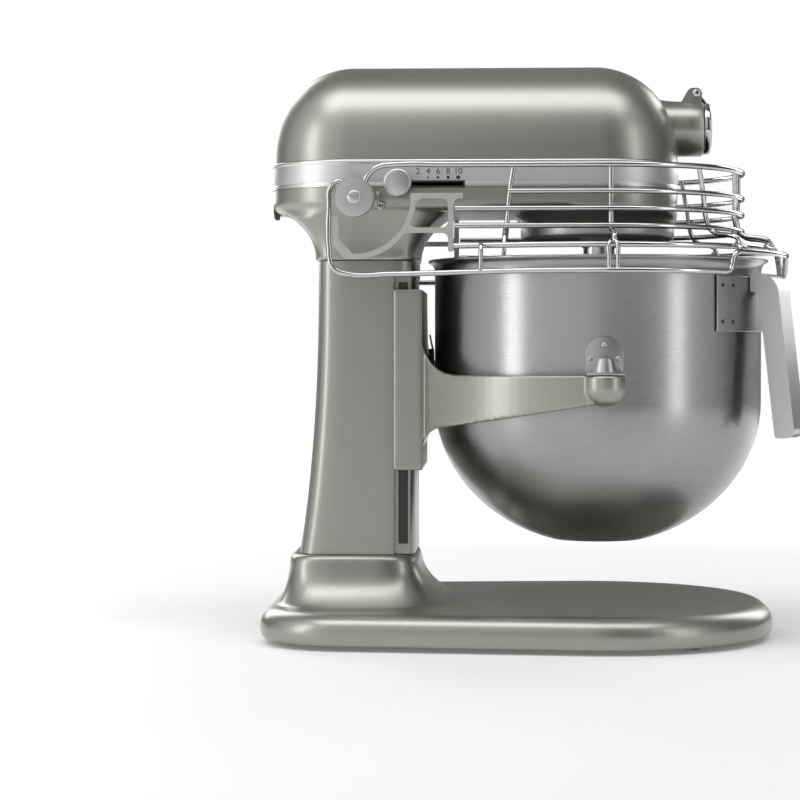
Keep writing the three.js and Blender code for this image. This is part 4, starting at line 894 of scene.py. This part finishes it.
def make_bowl_brackets():
    for name, side in SIDES:
        face = side * 120.3
        outer = side * 121.8
        base = ARM_TOP + 0.3
        arch = rounded([(-13, base, 0.5), (13, base, 0.5), (13, 219, 12.9), (-13, 219, 12.9)], 14)
        plate = soften(prism("plate", arch, *sorted((face, outer)), "y"), 0.4)
        near, far = sorted((face, side * (PIN_Y + 11)))
        flange = soften(block("flange", (-13, near, base), (13, far, base + 2)), 0.5)
        cone = lathe("cone", [(4.9, base + 1), (8.9, base + 1.5), (8.2, base + 4), (6.6, 202), (6, 203.6),
                              (4.4, 204.2), (0.01, 204.2), (0.01, 201), (4.9, 201)],
                     at=(0, side * PIN_Y, 0), steps=48, closed=True)
        places = ((-9.5, 203.5), (9.5, 203.5), (0, 213))
        heads = [rivet("rivet", (x, outer, z), (0, side, 0), 1.7, 0.7) for x, z in places]
        bpy.context.view_layer.update()
        bracket = merged("bowl_bracket_plate_" + name, [plate, flange, cone, *heads])
        smooth(bracket, 40)
        finish_piece(bracket, "bowl", "stainless", "brushed", ["bowl_bracket_" + name])


# ---- Yoke ----
def make_yoke():
    inner, outer = PIN_Y - 6, PIN_Y + 6
    bottom, top = low("lift_yoke").z, high("lift_yoke").z
    steps = 64
    forth = [RIGHT + math.pi * k / steps for k in range(steps + 1)]
    back = [3 * RIGHT - math.pi * k / steps for k in range(steps + 1)]
    band = [(outer * math.cos(a), outer * math.sin(a)) for a in forth]
    band += [(inner * math.cos(a), inner * math.sin(a)) for a in back]
    arms = prism("arms", band, bottom, top)
    front = COLUMN_FRONT + 0.6
    face = front + 5
    side_view = rounded([(front, bottom, 0.5), (face, bottom, 4), (face - 1, 152, 18), (4, 174, 1),
                         (4, ARM_TOP, 1), (face + 1, ARM_TOP, 24), (face, top, 4), (front, top, 0.5)], 10)
    carve(arms, [prism("profile", side_view, -160, 160, "y")], "INTERSECT")
    half = high("column").y + 1.6
    rear = low("lift_yoke").x
    pieces = [arms, prism("plate", oblong(-half, bottom, half, top, 3, 4), front, face, "x")]
    for _, side in SIDES:
        near, far = sorted((side * 50.6, side * half))
        pieces.append(block("cheek", (rear, near, bottom), (face - 0.5, far, top)))
        cup = [(0, ARM_TOP - 22)]
        for k in range(1, 11):
            a = RIGHT * k / 10
            cup.append((14.5 * math.sin(a), ARM_TOP - 9 - 13 * math.cos(a)))
        cup += [(14.5, ARM_TOP - 1), (13.6, ARM_TOP), (0, ARM_TOP)]
        pieces.append(lathe("cup", cup, at=(0, side * PIN_Y, 0), steps=64))
    yoke = cast("lift_yoke_casting", pieces, 1.1, 6)
    tools = [block("lug_seat", (front - 1, -8.3, 227.7), (front + 3, 8.3, 240.3)),
             rod("bowl_way", 121.8, bottom - 5, top + 5, steps=120)]
    for name, side in SIDES:
        tools.append(rod("pin_seat", 3.8, ARM_TOP - 10, ARM_TOP + 4, at=(0, side * PIN_Y, 0), steps=32))
        first, last = low("guide_rail_" + name), high("guide_rail_" + name)
        tools.append(block("rail_way", (first.x - 0.6, first.y - 0.6, bottom - 2),
                           (last.x + 0.6, last.y + 0.6, top + 2)))
    carve(yoke, tools, sharp=50)
    finish_piece(yoke, "yoke", "paint", replaces=["lift_yoke"])


# ---- Guard ----
GUARD_Y = 106.0
GUARD_HALF = 1.5  # half the thickness of the brackets and eyes
WIRE = 1.9
RINGS = ((338.6, 106.0), (320.0, 106.0), (308.0, 106.0), (296.0, 106.0), (282.0, 129.5))  # height and radius
LOW_RING = (264.0, 138.0)
KINK = 14.0  # how far the low ring rises to pass over the bowl's handle


def on_hoop(radius, azimuth, z):
    """A point on a hoop; azimuth 0 is the mixer's right side and a quarter turn its front."""
    return (radius * math.sin(azimuth), -radius * math.cos(azimuth), z)


def mirrored(points):
    return [(x, -y, z) for x, y, z in points]


def hoop(lead, radius, z, steps=32):
    """A level wire: a lead on each side of the head, and half a circle round its front."""
    arc = [on_hoop(radius, math.pi * i / steps, z) for i in range(steps + 1)]
    return [*lead, *arc, *reversed(mirrored(lead))]


def make_guard():
    pivot_x = PIVOT.x
    bar_front = -103.3

    def point(x, z, offset=0.0):
        return (x, -GUARD_Y + offset, z)

    def kink(azimuth):
        away = abs(azimuth - RIGHT - HANDLE_TURN)
        share = min(1.0, max(0.0, (0.46 - away) / 0.06))
        return LOW_RING[0] + KINK * share * share * (3 - 2 * share)

    top, radius = RINGS[0]
    upper = [point(pivot_x + x, z) for x, z in ((6, 324), (9, 331), (16, 336.8), (28, top))]
    upper += [point(x, top) for x in (-110, -60, -30)]
    rear_leg = ((-5, 324), (-12, 327), (-17.2, 322), (-18, 310), (-18, 280), (-15, 267), (-5, 262.5))
    lower = [point(pivot_x + x, z) for x, z in rear_leg]
    lower += [point(pivot_x + 25, 262.4, -2), point(pivot_x + 55, 262.8, -8), point(-80, 263.6, -17),
              point(-40, 264, -28)]
    routes = [(hoop(upper, radius, top), WIRE + 0.2)]
    leads = {1: [point(-66, RINGS[1][0]), point(-30, RINGS[1][0])]}
    for i in (1, 2, 3):
        z = RINGS[i][0]
        routes.append((hoop(leads.get(i, [point(bar_front, z), point(-60, z), point(-30, z)]), radius, z),
                       WIRE))
    z5, r5 = RINGS[4]
    routes.append((hoop([point(bar_front, z5), point(-80, z5, -9), point(-40, z5, -20)], r5, z5), WIRE + 0.2))
    arc = [on_hoop(LOW_RING[1], math.pi * i / 96, kink(math.pi * i / 96)) for i in range(97)]
    routes.append(([*lower, *arc, *reversed(mirrored(lower))], WIRE + 0.1))
    inside = WIRE * 1.3

    def upright(azimuth, lean):
        def at(r, z):
            return on_hoop(r, azimuth + lean * (top - z), z)
        inner = radius - inside
        return [at(inner, top + 1), at(inner, 320), at(inner, 299.5), at(inner + 3.5, 293.5), at(r5 - 7, 290),
                at(r5 - 2, 288.2), at(r5 - 0.4, z5 + 1)]

    def sides(points):
        return [points, mirrored(points)]

    side = [point(-62, top + 1, inside), point(-65, 320, inside), point(-67, 299.5, inside),
            point(-68, 293.5, 0.4), point(-68.6, 288, -7), point(-69, z5 + 1, -10.4)]
    uprights = [*sides(side), *sides(upright(0.05, 0)), *sides(upright(0.72, 0.0022)), upright(RIGHT, 0),
                upright(1.22, 0.0012)]
    routes += [(points, WIRE - 0.1) for points in uprights]

    def loop_over(azimuth, half_width=0.022):
        """An upside-down U from the low ring over the fifth ring."""
        def at(r, a, z):
            return on_hoop(r, azimuth + a, z)

        def leg(width):
            z = kink(azimuth + width)
            knee = 273 if z < 270 else 281
            mid = (r5 + LOW_RING[1]) / 2
            return [at(LOW_RING[1] - 1, width, z), at(LOW_RING[1] - 2.2, width, knee),
                    at(mid, width * 0.9, 282.4)]
        return [*leg(-half_width), at(r5 + 1.6, 0, 284.6), *reversed(leg(half_width))]

    loops = [*sides(loop_over(0.04)), loop_over(RIGHT + 0.1), loop_over(math.pi - 0.8), loop_over(0.8),
             loop_over(1.12)]
    link = [(-85, -114.4, z5 + 1), (-85, -118.4, z5 - 1), (-85, -122, 272), (-85, -122.6, 265)]
    loops += sides(link)
    routes += [(points, WIRE - 0.3) for points in loops]
    basket = wires("guard_wires", routes)
    eyes = []
    for _, sign in SIDES:
        near, far = sorted((sign * (GUARD_Y - GUARD_HALF), sign * (GUARD_Y + GUARD_HALF)))
        eyes.append(lathe("eye", [(5.6, near), (12.5, near), (12.5, far), (5.6, far)], "y",
                          (pivot_x, 0, PIVOT.z), 48, closed=True))
    basket = merged("guard_wires", [basket, *eyes])
    smooth(basket, 50)
    finish_piece(basket, "guard", "chrome", replaces=["guard_basket"])


def gusset(u, v, du, dv, size):
    """A corner fill with a hollow face, in the angle at u, v that opens towards du, dv."""
    curve = [(u, v), (u + du * size, v)]
    for k in range(9):
        a = RIGHT * k / 8
        curve.append((u + du * size * (1 - math.sin(a)), v + dv * size * (1 - math.cos(a))))
    return curve


def make_guard_brackets():
    bar, radius = 3.8, 41.0
    x, z = PIVOT.x, PIVOT.z
    for name, side in SIDES:
        near, far = sorted((side * (GUARD_Y - GUARD_HALF), side * (GUARD_Y + GUARD_HALF)))
        start, end = 0.02, -1.75
        around = [start + (end - start) * k / 40 for k in range(41)]
        arc = [(x + (radius + bar / 2) * math.cos(a), z + (radius + bar / 2) * math.sin(a)) for a in around]
        arc += [(x + (radius - bar / 2) * math.cos(a),
                 z + (radius - bar / 2) * math.sin(a)) for a in reversed(around)]
        post = -106.0
        strut = 291.0
        left = x - 18 + WIRE + 0.9
        shapes = [
            oblong(-134.2, z - 0.8, -97.5, z + 3, 0.8, 3),
            oblong(post - bar / 2, 278, post + bar / 2, z + 2, 1, 3),
            [(-141, strut), (post, strut), (post, strut + bar), (-139, strut + bar)],
            rounded([(left, 303, 1.2), (left, 283, 9), (left + 8, 273, 2), (left + 14, 276.5, 1),
                     (left + 4, 287, 5), (left + 4, 303, 1.2)], 5),
            gusset(-130, z - 0.6, 1, -1, 6),
            gusset(post - bar / 2 + 0.2, z - 0.6, -1, -1, 5),
            gusset(post + bar / 2 - 0.2, z - 0.6, 1, -1, 5),
            gusset(post - bar / 2 + 0.2, strut + bar - 0.2, -1, 1, 5),
            gusset(post - bar / 2 + 0.2, strut + 0.2, -1, -1, 5),
            gusset(-135.5, strut + bar - 0.2, 1, 1, 6),
        ]
        plates = [prism("bar", shape, near, far, "y") for shape in shapes]
        plate = prism("guard_bracket_casting_" + name, arc, near, far, "y")
        for other in plates:
            carve(plate, [other], "UNION")
        soften(plate, 0.45, 2, 50)
        finish_piece(plate, "guard", "aluminium", "cast_aluminium", ["guard_bracket_" + name])


PIVOT_DISC = ((0, 0), (13.6, 0), (14, 0.5), (14, 2), (13.3, 2.9), (12.6, 3), (5, 3), (4.9, 4.6), (4.3, 5.3))
POST_FOOT = ((0, 0), (9.2, 0), (9.2, 2.6), (7.2, 5), (7, 6))


def make_pivots():
    for name, side in SIDES:
        screw_low, screw_high = low("guard_screw_" + name).y, high("guard_screw_" + name).y
        disc, tip = sorted((screw_low, screw_high), key=abs)
        profile = [(radius, disc + side * out) for radius, out in PIVOT_DISC] + [(3, tip), (0, tip)]
        washer = lathe("pivot_disc_" + name, profile, "y", (PIVOT.x, 0, PIVOT.z), 80, sharp=40)
        slot = block("slot", (-7, min(tip - side * 1.4, tip + side * 2), -0.55),
                     (7, max(tip - side * 1.4, tip + side * 2), 0.55))
        slot.data.transform(Matrix.Translation(Vector((PIVOT.x, 0, PIVOT.z)) * MM) @ Matrix.Rotation(0.45, 4,
                                                                                                     "Y"))
        carve(washer, [slot], sharp=40)
        finish_piece(washer, "stand", "aluminium", "satin", ["guard_screw_" + name])
        wall = side * (HEAD_HALF - 0.4)
        post_end = side * 104
        profile = [(radius, wall + side * out) for radius, out in POST_FOOT]
        profile += [(7, post_end - side), (6.4, post_end), (5, post_end), (5, side * 108), (0, side * 108)]
        post = lathe("pivot_post_" + name, profile, "y", (PIVOT.x, 0, PIVOT.z), 48, sharp=40)
        finish_piece(post, "stand", "stainless", "brushed", ["guard_post_" + name])
        dowel = lathe("stop_rod_" + name, [(0, wall), (2, wall), (2, side * 86), (1.4, side * 87),
                                           (0, side * 87)], "y", (PIVOT.x + 15.5, 0, PIVOT.z + 4), 24)
        socket = lathe("socket_screw_" + name,
                       [(0, wall), (3, wall), (3, side * 74.4), (2.4, side * 75), (1.5, side * 75),
                        (1.3, side * 73.6), (0, side * 73.4)],
                       "y", (PIVOT.x + 17, 0, PIVOT.z - 3.4), 24, sharp=40)
        finish_piece(dowel, "stand", "chrome")
        finish_piece(socket, "stand", "chrome")


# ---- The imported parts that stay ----
# Finishes by node. The other nodes take theirs by slot, from BY_SLOT or under the slot's own name.
CARRIED = {
    "centre_bearing": "chrome",
    "rear_bearing": "chrome",
    "hub_sleeve": "chrome",
    "armature": "winding",
    "guide_rail_right": "dark_steel",
    "guide_rail_left": "dark_steel",
    "rear_latch_spring": "dark_steel",
    "gear_plate": "cast_aluminium",
    "lift_lever": "cast_aluminium",
}
BY_SLOT = {"aluminium": "burnished", "stainless": "brushed"}


def dress_packed_parts():
    slots = {part["node"]: part["material_slot"] for part in frame["record"]["subparts"]}
    for name, part in frame["nodes"].items():
        slot = slots[name]
        part.data.materials.clear()
        part.data.materials.append(FINISHES[CARRIED.get(name, BY_SLOT.get(slot, slot))])
        if part.hide_render:
            continue
        weld = part.modifiers.new("weld", "WELD")
        weld.merge_threshold = 0.00001
        soften(part, 0.3, 2, 40)


# ---- Stage ----
# The studio's walls as greys by direction, from behind the mixer round by its front to behind again.
WALLS = ((0.0, 0.25), (0.17, 0.15), (0.22, 0.8), (0.36, 1.0), (0.48, 0.85), (0.515, 0.08), (0.585, 0.06),
         (0.63, 0.65), (0.7, 0.6), (0.77, 0.06), (1.0, 0.25))
FLOOR_RADIUS = 2300
# The floor's glow by its share of the way to the rim, where it melts into the white behind.
FLOOR_GLOW = ((0.0, 0.1), (0.3, 0.14), (0.75, 0.75), (1.0, 0.95))
# What multiplies the walls by direction, from straight down to straight up.
HEIGHTS = ((0.0, 0.15), (0.4, 0.25), (0.53, 0.85), (0.8, 1.0))


def area_light(name, place, aim, size, power):
    data = bpy.data.lights.new(name, "AREA")
    data.shape = "RECTANGLE"
    data.size, data.size_y = size
    data.energy = power
    lamp = bpy.data.objects.new(name, data)
    lamp.location = place
    lamp.rotation_euler = (Vector(aim) - Vector(place)).to_track_quat("-Z", "Y").to_euler()
    bpy.context.scene.collection.objects.link(lamp)


def make_stage(settings):
    scene = bpy.context.scene
    camera_data = bpy.data.cameras.new("camera")
    camera_data.lens = settings.lens
    camera_data.sensor_width = 36
    camera = bpy.data.objects.new("camera", camera_data)
    camera.location = settings.camera_place
    aim = Vector(settings.camera_aim) - camera.location
    camera.rotation_euler = aim.to_track_quat("-Z", "Y").to_euler()
    scene.collection.objects.link(camera)
    scene.camera = camera

    turns = [math.pi * k / 48 for k in range(96)]
    rim = [(FLOOR_RADIUS * math.cos(a), FLOOR_RADIUS * math.sin(a), 0) for a in turns]
    floor = mesh_piece("floor", rim, [tuple(range(96))])
    paper = Finish("pale_paper", settings.floor_colour, 0.55, **{"Emission Strength": 1.0})
    grain = paper.noise(300, 2.0)
    paper.tint(shade(settings.floor_colour, 0.97), grain)
    distance = paper.node("VectorMath", {"operation": "LENGTH"}, {0: paper.place()}, "Value")
    glow = paper.node("ValToRGB", {"stops": FLOOR_GLOW}, {"Fac": distance * (1 / (FLOOR_RADIUS * MM))})
    paper.feed(paper.shader.inputs["Emission Color"], glow)
    floor.data.materials.append(paper.material)

    area_light("overhead", (-0.1, -0.45, 1.5), (-0.08, 0, 0.25), (1.7, 0.6), 10)
    area_light("left_strip", (-1.35, -0.75, 0.5), (-0.1, 0, 0.2), (0.35, 1.3), 5)
    area_light("right_strip", (1.25, -0.95, 0.55), (0, 0, 0.2), (0.3, 1.3), 3)
    area_light("back_left", (-0.9, 1.3, 0.8), (-0.1, 0, 0.2), (0.6, 1.0), 7)
    area_light("back_right", (1.0, 1.2, 0.8), (0, 0, 0.2), (0.6, 1.0), 7)

    world = bpy.data.worlds.new("studio")
    world.use_nodes = True
    scene.world = world
    studio = Tree(world.node_tree)
    x, y, z = studio.split(studio.node("TexCoord", output="Generated"))
    turn = studio.maths("ARCTAN2", x, 0 - y) * (0.5 / math.pi) + 0.5
    panels = studio.node("ValToRGB", {"stops": WALLS}, {"Fac": turn})
    height = studio.node("ValToRGB", {"stops": HEIGHTS}, {"Fac": z * 0.5 + 0.5})
    seen = studio.node("LightPath", output="Is Camera Ray")
    glow = studio.node("Mix", {"data_type": "RGBA", "blend_type": "MULTIPLY"},
                       {"Factor": 1.0, 6: panels, 7: height}, 2)
    shown = studio.node("Mix", {"data_type": "RGBA"}, {"Factor": seen, 6: glow, 7: (1, 1, 1, 1)}, 2)
    studio.feed(world.node_tree.nodes["Background"].inputs["Color"], shown)
    scene.view_settings.view_transform = "Standard"


# ---- Add-on ----
class MixerSettings(bpy.types.PropertyGroup):
    """Sizes and colours that a user would change."""

    paint_colour: bpy.props.FloatVectorProperty(
        name="Enamel colour", description="Colour of the castings' enamel", subtype="COLOR", size=3,
        default=(0.305, 0.303, 0.272))
    paint_roughness: bpy.props.FloatProperty(
        name="Enamel roughness", description="How satin the enamel is", default=0.34, min=0.05, max=1.0)
    steel_colour: bpy.props.FloatVectorProperty(
        name="Steel colour", description="Colour of the bowl and its fittings", subtype="COLOR", size=3,
        default=(0.42, 0.42, 0.425))
    dish_depth: bpy.props.FloatProperty(
        name="Dish depth", description="Depth of the base's hollow, in millimetres", default=6.8, min=0.0,
        max=7.0)
    crown_power: bpy.props.FloatProperty(
        name="Crown", description="How square the head's shoulders are", default=2.25, min=2.0, max=4.0)
    top_speed: bpy.props.IntProperty(
        name="Top speed", description="Highest number on the speed scale", default=10, min=4, max=12)


class StageSettings(bpy.types.PropertyGroup):
    """The camera and the floor."""

    lens: bpy.props.FloatProperty(name="Lens", description="Focal length in millimetres", default=103.5,
                                  min=20, max=300)
    camera_place: bpy.props.FloatVectorProperty(
        name="Camera place", description="Where the camera stands", subtype="TRANSLATION", unit="LENGTH",
        size=3, default=(-0.071, -1.708, 0.2095))
    camera_aim: bpy.props.FloatVectorProperty(
        name="Camera aim", description="The point that the camera looks at", subtype="TRANSLATION",
        unit="LENGTH", size=3, default=(-0.146, 0.0, 0.1724))
    floor_colour: bpy.props.FloatVectorProperty(
        name="Floor colour", description="Colour of the floor", subtype="COLOR", size=3,
        default=(0.9, 0.9, 0.9))


class MIXER_OT_finishes(bpy.types.Operator):
    """Makes the finishes that the pieces share"""

    bl_idname = "mixer.finishes"
    bl_label = "Finishes"

    def execute(self, context):
        settings = context.scene.mixer
        steel = tuple(settings.steel_colour)
        across, up = (60, 60, 1), (1, 1, 60)
        FINISHES.update({
            "paint": enamel(tuple(settings.paint_colour), settings.paint_roughness),
            "spun": spun("spun_stainless", shade(steel, 0.86), 0.27,
                         **{"Anisotropic": 0.55, "Anisotropic Rotation": 0.25}),
            "stainless": brushed("brushed_stainless", steel, 0.3, up),
            "brushed": brushed("brushed_sheet", shade(steel, 1.15), 0.34, across),
            "band": brushed("band_aluminium", (0.68, 0.68, 0.67), 0.32, up),
            "field": brushed("band_field", (0.66, 0.66, 0.65), 0.42, up),
            "satin": cast_metal("satin_aluminium", (0.58, 0.58, 0.57), 0.36),
            "aluminium": cast_metal("plain_aluminium", (0.55, 0.55, 0.55), 0.38),
            "cast_aluminium": cast_metal("cast_aluminium", (0.56, 0.56, 0.54), 0.42),
            "burnished": polished("burnished_aluminium", (0.66, 0.66, 0.66), 0.2),
            "chrome": polished("bright_chrome", (0.52, 0.52, 0.53), 0.1),
            "steel": brushed("machined_steel", (0.4, 0.4, 0.42), 0.32, (1, 1, 12)),
            "dark_steel": cast_metal("dark_spring_steel", (0.06, 0.06, 0.06), 0.4),
            "bronze": brushed("machined_bronze", (0.5, 0.33, 0.14), 0.34, (1, 1, 8)),
            "winding": windings(),
            "black_plastic": moulded("black_moulding", (0.012, 0.012, 0.012), 0.45),
            "ink": moulded("printed_ink", (0.02, 0.02, 0.02), 0.6),
            "rubber": moulded("foot_rubber", (0.02, 0.02, 0.02), 0.8, 900),
            "board": moulded("circuit_board", (0.02, 0.12, 0.05), 0.5),
        })
        return {"FINISHED"}


class MIXER_OT_base(bpy.types.Operator):
    """Makes the base casting with its bell-shaped pedestal"""

    bl_idname = "mixer.base"
    bl_label = "Base"

    def execute(self, context):
        make_base(context.scene.mixer.dish_depth)
        return {"FINISHED"}


class MIXER_OT_column(bpy.types.Operator):
    """Makes the column with its lift guides"""

    bl_idname = "mixer.column"
    bl_label = "Column"

    def execute(self, context):
        make_column()
        return {"FINISHED"}


class MIXER_OT_head(bpy.types.Operator):
    """Makes the two castings of the head"""

    bl_idname = "mixer.head"
    bl_label = "Head"

    def execute(self, context):
        make_motor_housing(context.scene.mixer.crown_power)
        make_gear_housing()
        return {"FINISHED"}


class MIXER_OT_band(bpy.types.Operator):
    """Makes the trim band and the speed scale"""

    bl_idname = "mixer.band"
    bl_label = "Band and scale"

    def execute(self, context):
        make_band()
        make_scale(range(2, context.scene.mixer.top_speed + 1, 2))
        return {"FINISHED"}


class MIXER_OT_controls(bpy.types.Operator):
    """Makes the speed knob and the hub cover"""

    bl_idname = "mixer.controls"
    bl_label = "Knob and hub cover"

    def execute(self, context):
        make_knob()
        make_hub_cover()
        return {"FINISHED"}


class MIXER_OT_agitator(bpy.types.Operator):
    """Makes the planetary disc and the flat beater"""

    bl_idname = "mixer.agitator"
    bl_label = "Planetary and beater"

    def execute(self, context):
        make_planetary()
        make_beater()
        return {"FINISHED"}


class MIXER_OT_bowl(bpy.types.Operator):
    """Makes the bowl with its handle and brackets"""

    bl_idname = "mixer.bowl"
    bl_label = "Bowl"

    def execute(self, context):
        make_bowl()
        make_handle()
        make_bowl_brackets()
        return {"FINISHED"}


class MIXER_OT_yoke(bpy.types.Operator):
    """Makes the yoke that lifts the bowl"""

    bl_idname = "mixer.yoke"
    bl_label = "Yoke"

    def execute(self, context):
        make_yoke()
        return {"FINISHED"}


class MIXER_OT_guard(bpy.types.Operator):
    """Makes the wire guard, its brackets and its pivots"""

    bl_idname = "mixer.guard"
    bl_label = "Guard"

    def execute(self, context):
        make_guard()
        make_guard_brackets()
        make_pivots()
        return {"FINISHED"}


class MIXER_OT_packed(bpy.types.Operator):
    """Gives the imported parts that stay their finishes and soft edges"""

    bl_idname = "mixer.packed"
    bl_label = "Packed parts"

    def execute(self, context):
        dress_packed_parts()
        return {"FINISHED"}


class MIXER_OT_stage(bpy.types.Operator):
    """Sets the camera, the floor and the lights"""

    bl_idname = "mixer.stage"
    bl_label = "Stage"

    def execute(self, context):
        make_stage(context.scene.mixer_stage)
        return {"FINISHED"}


OPERATORS = (
    MIXER_OT_finishes, MIXER_OT_stage, MIXER_OT_base, MIXER_OT_column, MIXER_OT_head, MIXER_OT_band,
    MIXER_OT_controls, MIXER_OT_agitator, MIXER_OT_bowl, MIXER_OT_yoke, MIXER_OT_guard, MIXER_OT_packed,
)


class MIXER_PT_panel(bpy.types.Panel):
    """Lists the mixer's operators and settings"""

    bl_idname = "MIXER_PT_panel"
    bl_label = "Stand mixer"
    bl_space_type = "VIEW_3D"
    bl_region_type = "UI"
    bl_category = "Mixer"

    def draw(self, context):
        for group in (context.scene.mixer, context.scene.mixer_stage):
            for name in group.__annotations__:
                self.layout.prop(group, name)
        for operator in OPERATORS:
            self.layout.operator(operator.bl_idname)


CLASSES = (MixerSettings, StageSettings, *OPERATORS, MIXER_PT_panel)


def register():
    for cls in CLASSES:
        bpy.utils.register_class(cls)
    bpy.types.Scene.mixer = bpy.props.PointerProperty(type=MixerSettings)
    bpy.types.Scene.mixer_stage = bpy.props.PointerProperty(type=StageSettings)


def unregister():
    del bpy.types.Scene.mixer_stage
    del bpy.types.Scene.mixer
    for cls in reversed(CLASSES):
        bpy.utils.unregister_class(cls)


def main():
    register()
    for operator in OPERATORS:
        family, name = operator.bl_idname.split(".")
        getattr(getattr(bpy.ops, family), name)()


if __name__ == "__main__":
    main()
